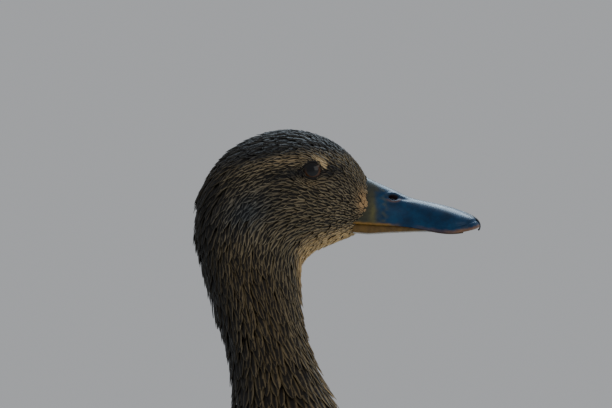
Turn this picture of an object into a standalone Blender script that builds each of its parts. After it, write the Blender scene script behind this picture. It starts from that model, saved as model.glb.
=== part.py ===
"""A hen mallard standing alert on both feet, life size, as a still museum model.

Metres, +Z up, +X towards the bill, +Y to the bird's left. The origin is on the floor, under the middle of
the bird's length. The feathered body, from the base of the bill to the tip of the tail, is one loft through
named sections. Head, neck, breast, trunk, rump and tail are lengths of it, parted by thin flat cuts. The
wings are sheets that follow its sides. Every outline is that of the closed plumage, to the feather tips.
"""

import math
from collections import namedtuple

import bmesh
import bpy
import numpy as np
from mathutils import Vector

MM = 0.001
GAP = 0.3 * MM  # left between neighbouring pieces
SIDES = {"left": 1, "right": -1}
MIDDLE_X = -8.2  # where the tables' x has the middle of the bird's length, in mm

# A section lies square to the bird's plane of symmetry. In mm: the point where it meets the back, the point
# where it meets the front or belly, its half width, and how far its widest place lies towards the belly.
Section = namedtuple("Section", "back front half_width low")
BODY = {
    "bill_base": Section((134.0, 346.6), (131.6, 323.0), 9.8, 0.06),
    "brow": Section((127.4, 355.6), (124.4, 319.9), 13.6, 0.10),
    "eye": Section((117.0, 362.6), (117.6, 317.2), 17.0, 0.12),
    "crown": Section((103.0, 365.9), (111.8, 314.4), 18.7, 0.11),
    "hind_crown": Section((86.5, 362.6), (108.4, 311.4), 19.2, 0.08),
    "occiput": Section((73.0, 353.4), (107.0, 308.6), 18.8, 0.05),
    "nape_top": Section((65.8, 341.0), (106.6, 305.6), 18.1, 0.03),
    "nape": Section((63.2, 326.0), (106.4, 301.6), 17.3, 0.0),
    "neck_top": Section((65.4, 309.0), (106.4, 296.5), 16.6, 0.0),
    "neck_upper": Section((70.6, 292.5), (107.0, 288.5), 16.2, 0.0),
    "neck_mid": Section((75.4, 277.0), (109.6, 277.5), 16.6, 0.0),
    "neck_lower": Section((78.0, 262.0), (114.8, 264.0), 18.4, 0.0),
    "neck_foot": Section((78.6, 248.0), (123.0, 248.0), 22.5, 0.02),
    "neck_base": Section((76.4, 235.5), (133.0, 227.0), 29.5, 0.05),
    "shoulder": Section((70.0, 225.0), (144.0, 204.0), 39.5, 0.08),
    "breast_top": Section((60.0, 216.0), (152.5, 178.0), 49.0, 0.10),
    "breast": Section((47.0, 210.5), (155.5, 149.0), 56.5, 0.10),
    "keel_front": Section((30.5, 206.3), (149.5, 119.0), 61.0, 0.08),
    "keel": Section((11.5, 201.8), (131.0, 93.0), 62.5, 0.05),
    "belly_front": Section((-10.0, 196.4), (98.0, 73.5), 63.0, 0.02),
    "belly": Section((-32.5, 189.8), (52.0, 63.5), 61.5, 0.0),
    "hip": Section((-56.0, 182.2), (4.0, 64.5), 58.0, 0.0),
    "vent": Section((-80.0, 173.6), (-40.0, 79.5), 50.0, 0.0),
    "rump": Section((-103.0, 166.0), (-77.0, 101.0), 40.5, 0.0),
    "tail_root": Section((-124.0, 161.0), (-108.0, 123.0), 31.5, 0.0),
    "tail_coverts": Section((-146.0, 158.2), (-138.0, 141.0), 28.5, 0.0),
    "tail_fan": Section((-168.0, 157.8), (-166.0, 150.4), 28.5, 0.0),
    "tail_end": Section((-187.0, 158.8), (-187.0, 155.0), 22.0, 0.0),
    "tail_tip": Section((-197.5, 159.6), (-197.5, 157.6), 8.0, 0.0),
}
BODY_PIECES = (  # name, first section, last section, rings
    ("head", "bill_base", "neck_top", 17),
    ("neck", "neck_top", "neck_base", 9),
    ("breast", "neck_base", "keel_front", 7),
    ("trunk", "keel_front", "vent", 10),
    ("rump", "vent", "tail_root", 6),
    ("tail", "tail_root", "tail_tip", 9),
)
BODY_SIDES = 28

# Each wing lies folded along the side, and its long flight feathers run on over the root of the tail.
WING_STARTS = ("breast", -0.1)  # a section, and how much of the way to the one before it
WING_ENDS = ("rump", 0.0)
WING_TIP_ENDS = ("tail_fan", 0.25)
WRIST_ANGLE = 84  # degrees round the body from the back
WING_OFF_BODY = 1.0 * MM
WING_THICKEST = 6.5 * MM
WING_EDGE = 1.4 * MM
WING_TIP_LIFT = 4.0 * MM
WING_TIP_THICKNESS = 1.8 * MM

# The bill, in mm. Its upper half overhangs the lower, which shows as a narrow strip at the cheek.
BILL_X = (134.4, 181.4)
BILL_SHARES = (0.0, 0.12, 0.24, 0.38, 0.52, 0.68, 0.82, 0.92, 0.975, 1.0)
CULMEN_Z = (346.0, 343.3, 340.7, 337.6, 336.0, 334.3, 332.3, 330.3, 328.8, 327.5)
CUTTING_EDGE_Z = (326.4, 326.0, 325.7, 325.1, 323.9, 322.7, 323.0, 323.9, 324.6, 325.3)
BILL_HALF_WIDTH = (9.4, 9.2, 8.9, 8.8, 9.5, 10.9, 11.2, 9.6, 6.4, 2.6)
LOWER_BILL_BOTTOM_Z = (321.9, 322.3, 322.8, 323.4, 324.1, 324.1, 324.2, 325.0)
VAULT = 2.6  # how far the roof of the mouth rises between the cutting edges
LIP = 1.1
BILL_SIDES = 18
BILL_BASE_LEAN = 0.1  # how far the base leans forward for each mm up, as the face behind it does
NAIL_CENTRE_X, NAIL_HALF_LENGTH, NAIL_HALF_WIDTH = 178.6, 4.6, 3.2
NOSTRIL = (145.4, 337.8)
NOSTRIL_SIZE = (4.2, 2.4)

EYE_CENTRE = (111.7, 8.7, 348.8)
EYE_RADIUS = 6.9

# Legs and feet, in mm, for the left side.
FOOT_X, FOOT_Y = 24.0, 29.0  # where the shank meets the toes
ANKLE = (8.0, 30.5, 51.0)
KNEE = (26.0, 33.0, 96.0)
THIGH_RADIUS, ANKLE_RADIUS = 17.0, 5.6
TOES = {"inner": (-30.0, 41.0), "middle": (-3.0, 52.0), "outer": (22.0, 49.0)}  # degrees outwards, length
TOE_HALF_WIDTH, TOE_HEIGHT, WEB_HEIGHT = 2.5, 4.6, 1.2
FAN_START = 5.0  # from the fan's centre to the back of the foot
FAN_SETBACK = 4.0  # the fan's centre lies this far behind the shank's end
SHANK_END_Z = 7.6
HALLUX_START, HALLUX_END = (-4.2, -2.0, 7.5), (-14.0, -4.5, 3.0)  # x and y from the shank's end, and height
CLAW_LENGTH, CLAW_SETBACK, CLAW_ROOT_Z, CLAW_DROP = 6.5, 3.6, 2.2, 1.5
HALLUX_CLAW_LENGTH = 4.0


def at(x, y, z):
    """A place given in the tables' mm, in metres from the origin."""
    return Vector((x - MIDDLE_X, y, z)) * MM


def natural_spline(knots, values, places):
    """The natural cubic spline through values at knots, read at places."""
    knots, values, places = (np.asarray(a, float) for a in (knots, values, places))
    gaps = np.diff(knots)
    slopes = np.diff(values, axis=0) / gaps[:, None]
    system = np.eye(len(knots))
    for i in range(1, len(knots) - 1):
        system[i, i - 1 : i + 2] = gaps[i - 1], 2 * (gaps[i - 1] + gaps[i]), gaps[i]
    wanted = np.zeros_like(values)
    wanted[1:-1] = 6 * np.diff(slopes, axis=0)
    bends = np.linalg.solve(system, wanted)
    i = np.clip(np.searchsorted(knots, places, side="right") - 1, 0, len(gaps) - 1)
    before, after, gap = (places - knots[i])[:, None], (knots[i + 1] - places)[:, None], gaps[i][:, None]
    cubes = bends[i] * after**3 / (6 * gap) + bends[i + 1] * before**3 / (6 * gap)
    first, last = values[i] / gap - bends[i] * gap / 6, values[i + 1] / gap - bends[i + 1] * gap / 6
    return cubes + first * after + last * before


class BodyForm:
    """The loft through BODY. A place on it is (t, angle): t grows along the body from the bill to the tail,
    and angle goes round from the back (0) over the bird's left side to the belly (pi)."""

    def __init__(self):
        self.values = np.array([[*s.back, *s.front, s.half_width, s.low] for s in BODY.values()])
        middles = (self.values[:, 0:2] + self.values[:, 2:4]) / 2
        self.knots = np.concatenate([[0.0], np.cumsum(np.linalg.norm(np.diff(middles, axis=0), axis=1))])

    def t_of(self, station, share_back=0.0):
        """Where a section lies, or a place share_back of the way from it to the one before it."""
        i = list(BODY).index(station)
        return self.knots[i] - share_back * (self.knots[i] - self.knots[max(i - 1, 0)])

    def frame(self, t):
        """Middle, half chord, half width, low and unit normal of the section at t."""
        back_x, back_z, front_x, front_z, half_width, low = natural_spline(self.knots, self.values, [t])[0]
        back, front = at(back_x, 0, back_z), at(front_x, 0, front_z)
        half = (back - front) / 2
        normal = Vector((half.z, 0, -half.x)).normalized()
        return (back + front) / 2, half, half_width * MM, low, normal

    def point(self, t, angle):
        middle, half, half_width, low, _ = self.frame(t)
        across = half_width * math.sin(angle) * (1 - low * math.cos(angle))
        return middle + half * math.cos(angle) + Vector((0, across, 0))

    def outward(self, t, angle):
        """The surface's outward normal, from two short steps on it."""
        along = self.point(t + 0.5, angle) - self.point(t - 0.5, angle)
        around = self.point(t, angle + 0.01) - self.point(t, angle - 0.01)
        return around.cross(along).normalized()

    def ring(self, t, shift=0.0, grow=0.0):
        """The section at t as points, moved by shift towards the bill, and grown outwards by grow."""
        middle, half, half_width, low, normal = self.frame(t)
        half = half * (1 + grow / half.length)
        points = []
        for i in range(BODY_SIDES):
            angle = 2 * math.pi * i / BODY_SIDES
            across = (half_width + grow) * math.sin(angle) * (1 - low * math.cos(angle))
            points.append(middle + half * math.cos(angle) + Vector((0, across, 0)) + normal * shift)
        return points


body = BodyForm()


# Making objects


def new_collection(name):
    collection = bpy.data.collections.new(name)
    bpy.context.scene.collection.children.link(collection)
    return collection


def material(name, colour, roughness):
    made = bpy.data.materials.new(name)
    made.use_nodes = True
    shader = made.node_tree.nodes["Principled BSDF"]
    shader.inputs["Base Color"].default_value = (*colour, 1.0)
    shader.inputs["Roughness"].default_value = roughness
    return made


def add_mesh(name, bm, surface, collection):
    """Turns a closed bmesh into a named, smooth-shaded object with its normals facing out."""
    bmesh.ops.recalc_face_normals(bm, faces=bm.faces)
    mesh = bpy.data.meshes.new(name)
    bm.to_mesh(mesh)
    bm.free()
    if surface:
        mesh.materials.append(surface)
    mesh.shade_smooth()
    mesh.set_sharp_from_angle(angle=math.radians(50))
    made = bpy.data.objects.new(name, mesh)
    collection.objects.link(made)
    return made


def loft(rings):
    """A closed bmesh through rings of equal length, with a flat face at each end."""
    bm = bmesh.new()
    rows = [[bm.verts.new(p) for p in ring] for ring in rings]
    for row, following in zip(rows, rows[1:]):
        for i, vert in enumerate(row):
            j = (i + 1) % len(row)
            bm.faces.new((vert, row[j], following[j], following[i]))
    bm.faces.new(list(reversed(rows[0])))
    bm.faces.new(rows[-1])
    return bm


def sheet(outer, inner):
    """A closed bmesh between two grids of points of equal size, joined round their rims."""
    bm = bmesh.new()
    grids = [[[bm.verts.new(p) for p in row] for row in grid] for grid in (outer, inner)]
    rows, columns = len(outer), len(outer[0])
    for grid in grids:
        for i in range(rows - 1):
            for j in range(columns - 1):
                bm.faces.new((grid[i][j], grid[i][j + 1], grid[i + 1][j + 1], grid[i + 1][j]))
    rim = [(0, j) for j in range(columns)] + [(i, columns - 1) for i in range(1, rows)]
    rim += [(rows - 1, j) for j in range(columns - 2, -1, -1)] + [(i, 0) for i in range(rows - 2, 0, -1)]
    for (i, j), (k, m) in zip(rim, rim[1:] + rim[:1]):
        bm.faces.new((grids[0][i][j], grids[0][k][m], grids[1][k][m], grids[1][i][j]))
    return bm


def tapered_tube(name, path, radii, surface, collection):
    """A round tube along a path of points, with its own radius at each."""
    curve = bpy.data.curves.new(name, "CURVE")
    curve.dimensions = "3D"
    curve.bevel_depth = 1.0
    curve.bevel_resolution = 2
    curve.use_fill_caps = True
    spline = curve.splines.new("POLY")
    spline.points.add(len(path) - 1)
    for point, place, radius in zip(spline.points, path, radii):
        point.co = (*place, 1.0)
        point.radius = radius * MM
    curve.materials.append(surface)
    made = bpy.data.objects.new(name, curve)
    collection.objects.link(made)
    return made


def add_cutter(name, bm, cutters):
    made = add_mesh(name, bm, None, cutters)
    made.hide_render = True
    made.display_type = "WIRE"
    return made


def add_boolean(target, operation, other):
    modifier = target.modifiers.new(other.name, "BOOLEAN")
    modifier.operation = operation
    modifier.object = other


def ball(centre, radii, segments, rings):
    """A bmesh ellipsoid: centre in the tables' mm, radii in mm."""
    bm = bmesh.new()
    bmesh.ops.create_uvsphere(bm, u_segments=segments, v_segments=rings, radius=1.0)
    bmesh.ops.scale(bm, vec=Vector(radii) * MM, verts=bm.verts)
    bmesh.ops.translate(bm, vec=at(*centre), verts=bm.verts)
    return bm


# The body and the wings


def make_body(parts, plumage):
    """Each piece ends half a gap short of the flat cut that it shares with its neighbour."""
    made = {}
    for name, first, last, count in BODY_PIECES:
        places = np.linspace(body.t_of(first), body.t_of(last), count)
        shifts = [-GAP / 2] + [0.0] * (count - 2) + [GAP / 2]
        rings = [body.ring(t, shift) for t, shift in zip(places, shifts)]
        made[name] = add_mesh(name, loft(rings), plumage, parts)
    return made


def wing_sheet(side, places, edges, height, thickness, columns):
    """A solid sheet over the body. edges(share) gives its upper and lower angles in degrees, height(share) its
    gap to the body, and thickness(share, across) its depth, each at a share of its length."""
    outer, inner = [], []
    for i, t in enumerate(places):
        share = i / (len(places) - 1)
        upper, lower = edges(share)
        outer.append([])
        inner.append([])
        for j in range(columns):
            across = j / (columns - 1)
            angle = math.radians(upper + (lower - upper) * across)
            spot, out = body.point(t, angle), body.outward(t, angle)
            for grid, rise in ((inner, 0), (outer, thickness(share, across))):
                point = spot + out * (height(share) + rise)
                grid[-1].append(Vector((point.x, side * point.y, point.z)))
    return sheet(outer, inner)


def rounded_start(share, reach):
    """0 at a rounded end, 1 once share is past reach."""
    return math.sqrt(1 - (1 - min(share / reach, 1)) ** 2)


def wing_edges(share):
    opened = 0.12 + 0.88 * rounded_start(share, 0.22)
    upper, lower = 46 - 22 * share, 112 - 34 * share
    return WRIST_ANGLE + (upper - WRIST_ANGLE) * opened, WRIST_ANGLE + (lower - WRIST_ANGLE) * opened


def wing_thickness(share, across):
    crown = (1 - (2 * across - 1) ** 4) * (0.35 + 0.65 * rounded_start(share, 0.3)) * (1 - 0.55 * share**2)
    return WING_EDGE + (WING_THICKEST - WING_EDGE) * crown


def make_wings(parts, plumage):
    start, end, tip_end = (body.t_of(*place) for place in (WING_STARTS, WING_ENDS, WING_TIP_ENDS))
    tip_start = end + GAP / MM * 2
    for word, side in SIDES.items():
        wing = wing_sheet(side, np.linspace(start, end, 15), wing_edges,
                          lambda share: WING_OFF_BODY, wing_thickness, 9)
        add_mesh(f"wing_{word}", wing, plumage, parts)
        tip = wing_sheet(side, np.linspace(tip_start, tip_end, 8),
                         lambda share: (24 - 8 * share, 78 - 50 * share**0.8),
                         lambda share: WING_OFF_BODY + WING_TIP_LIFT * share**1.5,
                         lambda share, across: WING_TIP_THICKNESS * (1.3 - 0.5 * share), 6)
        add_mesh(f"wing_tip_{word}", tip, plumage, parts)


# The head's hard parts


def bill_place(share, y, z):
    """A place on the bill, whose base leans as the feathered face does."""
    lean = BILL_BASE_LEAN * (z - CULMEN_Z[0]) * (1 - share) ** 3
    return at(BILL_X[0] + (BILL_X[1] - BILL_X[0]) * share + lean, y, z)


def bill_measures(share):
    """Culmen height, cutting edge height and half width at a share of the bill's length."""
    table = np.transpose([CULMEN_Z, CUTTING_EDGE_Z, BILL_HALF_WIDTH])
    return natural_spline(BILL_SHARES, table, [share])[0]


def upper_bill_ring(share):
    """A domed roof over two thin cutting edges, with a vault between them."""
    top, edge, half_width = bill_measures(share)
    squareness = 1 - 0.3 * min(1.0, 1.6 * share)
    points = []
    for i in range(BILL_SIDES):
        up, side = math.cos(2 * math.pi * i / BILL_SIDES), math.sin(2 * math.pi * i / BILL_SIDES)
        if up > -1e-6:
            height, wide = (top - edge) * abs(up) ** squareness, half_width
        else:
            height, wide = vault_height(share, side), max(half_width - LIP, 0.6 * half_width)
        points.append(bill_place(share, side * wide, edge + height))
    return points


def vault_height(share, side):
    return VAULT * (1 - share**3) * math.sqrt(max(0.0, 1 - side**2))


def lower_bill_ring(share):
    """A shallow trough that fills the vault, level with the cutting edges at the tip and below at the cheek."""
    _, edge, half_width = bill_measures(share)
    bottom = natural_spline(np.linspace(0, 1, len(LOWER_BILL_BOTTOM_Z)), np.array([LOWER_BILL_BOTTOM_Z]).T, [share])
    wide = half_width - LIP - 0.5
    columns = 9
    top_row, bottom_row = [], []
    for i in range(columns):
        side = 2 * i / (columns - 1) - 1
        roof = edge + vault_height(share, side * wide / (half_width - LIP)) - 1.4 * GAP / MM
        floor = bottom[0][0] + 0.9 * side**2
        top_row.append(bill_place(share, side * wide, roof))
        bottom_row.append(bill_place(share, side * wide * 0.97, min(floor, roof - 0.5)))
    return top_row + bottom_row[::-1]


def make_bill(parts, cutters, horn, nail_horn):
    shares = np.linspace(0, 0.99, 16)
    upper = add_mesh("bill_upper", loft([upper_bill_ring(s) for s in shares]), horn, parts)
    nail = add_mesh("bill_nail", loft([upper_bill_ring(s) for s in shares]), nail_horn, parts)
    height = 30.0
    for name, target, grow, operation in (
        ("nail_outline", nail, 0.0, "INTERSECT"),
        ("nail_notch", upper, GAP / MM, "DIFFERENCE"),
    ):
        bm = bmesh.new()
        bmesh.ops.create_cone(bm, cap_ends=True, segments=20, radius1=1.0, radius2=1.0, depth=height)
        bmesh.ops.scale(bm, vec=Vector((NAIL_HALF_LENGTH + grow, NAIL_HALF_WIDTH + grow, 1)) * MM, verts=bm.verts)
        bmesh.ops.translate(bm, vec=at(NAIL_CENTRE_X, 0, CULMEN_Z[-1]), verts=bm.verts)
        add_boolean(target, operation, add_cutter(name, bm, cutters))
    for word, side in SIDES.items():
        x, z = NOSTRIL
        share = (x - BILL_X[0]) / (BILL_X[1] - BILL_X[0])
        top, edge, half_width = bill_measures(share)
        y = half_width * math.sqrt(1 - ((z - edge) / (top - edge)) ** 2)
        pit = ball((x, side * y, z), (NOSTRIL_SIZE[0] / 2, 1.6, NOSTRIL_SIZE[1] / 2), 12, 8)
        add_boolean(upper, "DIFFERENCE", add_cutter(f"nostril_{word}", pit, cutters))
    lower_shares = [s for s in shares if s < 0.9]
    add_mesh("bill_lower", loft([lower_bill_ring(s) for s in lower_shares]), horn, parts)


def make_eyes(parts, cutters, head, cornea):
    x, y, z = EYE_CENTRE
    for word, side in SIDES.items():
        radii = [EYE_RADIUS] * 3
        add_mesh(f"eye_{word}", ball((x, side * y, z), radii, 16, 10), cornea, parts)
        socket = ball((x, side * y, z), [r + 2 * GAP / MM for r in radii], 16, 10)
        add_boolean(head, "DIFFERENCE", add_cutter(f"eye_socket_{word}", socket, cutters))


# Legs and feet


def make_thigh(word, side, parts, cutters, plumage, trunk_form):
    """The feathered leg, from inside the belly down to the ankle, less what the trunk holds."""
    knee, ankle = at(KNEE[0], side * KNEE[1], KNEE[2]), at(ANKLE[0], side * ANKLE[1], ANKLE[2] + 1.5)
    rings = []
    for i in range(8):
        share = i / 7
        centre = knee.lerp(ankle, share)
        radius = ANKLE_RADIUS + (THIGH_RADIUS - ANKLE_RADIUS) * math.cos(math.pi / 2 * share) ** 0.7
        turns = [2 * math.pi * k / 16 for k in range(16)]
        rings.append([centre + Vector((radius * 1.2 * math.cos(a), radius * math.sin(a), 0)) * MM for a in turns])
    thigh = add_mesh(f"thigh_{word}", loft(rings), plumage, parts)
    add_boolean(thigh, "DIFFERENCE", trunk_form)


def make_shank(word, side, parts, scaly):
    ankle, joint = at(ANKLE[0], side * ANKLE[1], ANKLE[2]), at(FOOT_X, side * FOOT_Y, SHANK_END_Z)
    shares = (0.0, 0.06, 0.16, 0.35, 0.6, 0.82, 0.93, 1.0)
    radii = (3.6, 4.5, 4.0, 3.1, 2.9, 3.3, 3.8, 3.2)
    path = [ankle.lerp(joint, share) for share in shares]
    tapered_tube(f"shank_{word}", path, radii, scaly, parts)


def toe_tip(toe, side, reach=1.0):
    angle, length = TOES[toe]
    turn = math.radians(angle)
    return FOOT_X + length * reach * math.cos(turn), side * (FOOT_Y + length * reach * math.sin(turn))


def make_foot(word, side, parts, scaly):
    """Three toes and the web between them: a fan-shaped sheet, flat below, with a ridge along each toe."""
    toes = list(TOES)
    angles = [TOES[toe][0] for toe in toes]
    lengths = [TOES[toe][1] for toe in toes]
    columns = []  # angle in degrees, reach, share of the toe's height, and sideways step for a toe's flank
    for i, (angle, length) in enumerate(zip(angles, lengths)):
        columns += [(angle, length * 0.93, 0.35, -1.0), (angle, length * 0.98, 0.9, -0.55), (angle, length, 1.0, 0.0)]
        columns += [(angle, length * 0.98, 0.9, 0.55), (angle, length * 0.93, 0.35, 1.0)]
        if i < 2:
            for share, dip in ((0.2, 0.86), (0.5, 0.80), (0.8, 0.86)):
                between = angle + (angles[i + 1] - angle) * share
                reach = (length + (lengths[i + 1] - length) * share) * dip
                columns.append((between, reach, 0.0, 0.0))
    top, bottom = [], []
    rows = 8
    for i in range(rows):
        share = i / (rows - 1)
        top.append([])
        bottom.append([])
        for angle, reach, ridge, flank in columns:
            turn = math.radians(angle)
            distance = FAN_START + (reach - FAN_START) * share
            knuckle = 1 + 0.12 * math.sin(2 * math.pi * (2.6 * share + 0.1))
            height = WEB_HEIGHT + (TOE_HEIGHT - WEB_HEIGHT) * ridge * (1 - 0.35 * share) * knuckle
            if share < 0.25:
                height = max(height, TOE_HEIGHT * (0.9 - 1.6 * share))
            step = flank * TOE_HALF_WIDTH * (1 - 0.3 * share)
            x = distance * math.cos(turn) - step * math.sin(turn)
            y = distance * math.sin(turn) + step * math.cos(turn)
            top[-1].append(at(FOOT_X - FAN_SETBACK + x, side * (FOOT_Y + y), height))
            bottom[-1].append(at(FOOT_X - FAN_SETBACK + x, side * (FOOT_Y + y), 0.0))
    add_mesh(f"foot_{word}", sheet(top, bottom), scaly, parts)


def make_hallux_and_claws(word, side, parts, scaly, claw_horn):
    """The small raised hind toe, and a curved claw on every toe."""
    start, end = (
        Vector((FOOT_X + x, side * (FOOT_Y + y), z)) for x, y, z in (HALLUX_START, HALLUX_END)
    )
    path = [at(*start.lerp(end, share)) for share in (0.0, 0.35, 0.7, 1.0)]
    tapered_tube(f"hallux_{word}", path, (2.0, 2.1, 2.0, 1.5), scaly, parts)
    directions = {toe: (toe_tip(toe, side, 1.0), toe_tip(toe, side, 1.0 + CLAW_LENGTH / TOES[toe][1])) for toe in TOES}
    for toe, (root, tip) in directions.items():
        heading = Vector((tip[0] - root[0], tip[1] - root[1], 0)).normalized()
        path = []
        for share in (0.0, 0.3, 0.6, 0.85, 1.0):
            step = heading * (CLAW_LENGTH * share - CLAW_SETBACK)
            height = CLAW_ROOT_Z + 0.5 * math.sin(math.pi * share) - CLAW_DROP * share**2
            path.append(at(root[0] + step.x, root[1] + step.y, height))
        tapered_tube(f"claw_{toe}_{word}", path, (1.35, 1.2, 0.95, 0.6, 0.3), claw_horn, parts)
    back = (end - start).normalized()
    path = []
    for share in (0.0, 0.5, 1.0):
        place = end + back * (GAP / MM + HALLUX_CLAW_LENGTH * share)
        path.append(at(*place))
    tapered_tube(f"claw_hallux_{word}", path, (1.1, 0.8, 0.3), claw_horn, parts)


def make_trunk_form(cutters):
    """The trunk a gap larger, to cut the legs off where they enter the body."""
    first, last = body.t_of("keel_front"), body.t_of("rump")
    rings = [body.ring(t, 0.0, 1.6 * GAP) for t in np.linspace(first, last, 16)]
    return add_cutter("trunk_form", loft(rings), cutters)


def build():
    for old in list(bpy.data.objects):
        bpy.data.objects.remove(old)
    parts, cutters = new_collection("mallard_hen"), new_collection("cutters")
    plumage = material("plumage", (0.10, 0.075, 0.05), 0.8)
    slate_horn = material("slate_horn", (0.035, 0.06, 0.075), 0.35)
    nail_horn = material("nail_horn", (0.02, 0.022, 0.024), 0.4)
    cornea = material("cornea", (0.012, 0.01, 0.009), 0.08)
    scaly = material("orange_skin", (0.55, 0.22, 0.05), 0.55)
    claw_horn = material("claw_horn", (0.03, 0.026, 0.022), 0.45)
    pieces = make_body(parts, plumage)
    make_wings(parts, plumage)
    make_bill(parts, cutters, slate_horn, nail_horn)
    make_eyes(parts, cutters, pieces["head"], cornea)
    trunk_form = make_trunk_form(cutters)
    for word, side in SIDES.items():
        make_thigh(word, side, parts, cutters, plumage, trunk_form)
        make_shank(word, side, parts, scaly)
        make_foot(word, side, parts, scaly)
        make_hallux_and_claws(word, side, parts, scaly, claw_horn)


build()
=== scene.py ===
"""The looks of a hen mallard standing alert: skin, feathers, bill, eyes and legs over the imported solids."""

import math

import bmesh
import bpy
import numpy as np
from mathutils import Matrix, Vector
from mathutils.bvhtree import BVHTree
from mathutils.kdtree import KDTree


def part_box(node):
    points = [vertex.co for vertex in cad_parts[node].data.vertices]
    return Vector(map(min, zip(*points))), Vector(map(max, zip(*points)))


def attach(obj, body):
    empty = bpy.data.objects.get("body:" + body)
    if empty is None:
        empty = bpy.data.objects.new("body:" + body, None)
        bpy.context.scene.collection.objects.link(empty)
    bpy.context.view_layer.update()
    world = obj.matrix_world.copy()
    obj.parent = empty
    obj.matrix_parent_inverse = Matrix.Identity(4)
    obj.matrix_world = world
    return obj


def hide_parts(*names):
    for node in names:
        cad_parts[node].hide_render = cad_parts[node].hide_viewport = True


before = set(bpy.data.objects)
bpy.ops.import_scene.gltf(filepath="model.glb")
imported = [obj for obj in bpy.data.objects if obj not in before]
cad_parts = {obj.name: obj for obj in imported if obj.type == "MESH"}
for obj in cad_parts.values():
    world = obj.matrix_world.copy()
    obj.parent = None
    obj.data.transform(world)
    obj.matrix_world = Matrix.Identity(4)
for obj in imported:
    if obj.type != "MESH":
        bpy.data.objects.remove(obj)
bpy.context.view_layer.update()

MM = 0.001


# ---- Skin ----------------------------------------------------------------------------------------------
# The bird's own skin, from the base of the bill to the root of the tail, in one piece with the folded wings,
# the thighs and the eyelids. The feathers root in it, so it lies under the plumage by the plumage's depth.

# The rows of feathers follow these planes across the bird. Each is given by where it meets the back and the
# front of the bird, as (x, z) in mm.
ROW_PLANES = {
    "bill": ((142.2, 346.6), (139.8, 323.0)),
    "eye": ((125.2, 362.6), (125.8, 317.2)),
    "crown": ((111.2, 365.9), (120.0, 314.4)),
    "hind_crown": ((94.7, 362.6), (116.6, 311.4)),
    "occiput": ((81.2, 353.4), (115.2, 308.6)),
    "nape_top": ((74.0, 341.0), (114.8, 305.6)),
    "nape": ((71.4, 326.0), (114.6, 301.6)),
    "neck_top": ((73.6, 309.0), (114.6, 296.5)),
    "neck_upper": ((78.8, 292.5), (115.2, 288.5)),
    "neck_mid": ((83.6, 277.0), (117.8, 277.5)),
    "neck_foot": ((86.8, 248.0), (131.2, 248.0)),
    "shoulder": ((78.2, 225.0), (152.2, 204.0)),
    "breast": ((55.2, 210.5), (163.7, 149.0)),
    "keel": ((19.7, 201.8), (139.2, 93.0)),
    "belly": ((-24.3, 189.8), (60.2, 63.5)),
    "hip": ((-47.8, 182.2), (12.2, 64.5)),
    "vent": ((-71.8, 173.6), (-31.8, 79.5)),
    "rump": ((-94.8, 166.0), (-68.8, 101.0)),
    "tail_root": ((-115.8, 161.0), (-99.8, 123.0)),
    "tail_coverts": ((-137.8, 158.2), (-129.8, 141.0)),
    "tail_fan": ((-159.8, 157.8), (-157.8, 150.4)),
    "tail_tip": ((-188.6, 159.6), (-188.6, 157.6)),
}


def spline(knots, values, places):
    """The natural cubic spline through values at knots, read at places."""
    gaps = np.diff(knots)
    slopes = np.diff(values, axis=0) / gaps[:, None]
    system = np.eye(len(knots))
    for i in range(1, len(knots) - 1):
        system[i, i - 1 : i + 2] = gaps[i - 1], 2 * (gaps[i - 1] + gaps[i]), gaps[i]
    wanted = np.zeros_like(values)
    wanted[1:-1] = 6 * np.diff(slopes, axis=0)
    bends = np.linalg.solve(system, wanted)
    i = np.clip(np.searchsorted(knots, places, side="right") - 1, 0, len(gaps) - 1)
    before, after, gap = (places - knots[i])[:, None], (knots[i + 1] - places)[:, None], gaps[i][:, None]
    cubes = bends[i] * after**3 / (6 * gap) + bends[i + 1] * before**3 / (6 * gap)
    first, last = values[i] / gap - bends[i] * gap / 6, values[i + 1] / gap - bends[i + 1] * gap / 6
    return cubes + first * after + last * before


def unit(vectors):
    """The vectors, each made 1 long."""
    return vectors / np.maximum(np.linalg.norm(vectors, axis=-1, keepdims=True), 1e-12)


def smooth_step(x, low, high):
    """A soft rise from 0 at low to 1 at high."""
    x = np.clip((np.asarray(x) - low) / (high - low), 0, 1)
    return x * x * (3 - 2 * x)


def catmull(f):
    """The four weights of a Catmull-Rom spline at the share f between its middle points."""
    return (
        (-f + 2 * f**2 - f**3) / 2,
        (2 - 5 * f**2 + 3 * f**3) / 2,
        (f + 4 * f**2 - 3 * f**3) / 2,
        (-(f**2) + f**3) / 2,
    )


def pairs(first, second):
    """Every pair of values from two arrays, as two flat arrays."""
    return (grid.ravel() for grid in np.meshgrid(first, second, indexing="ij"))


SIDES = 64  # points round each row of a measured form


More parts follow.
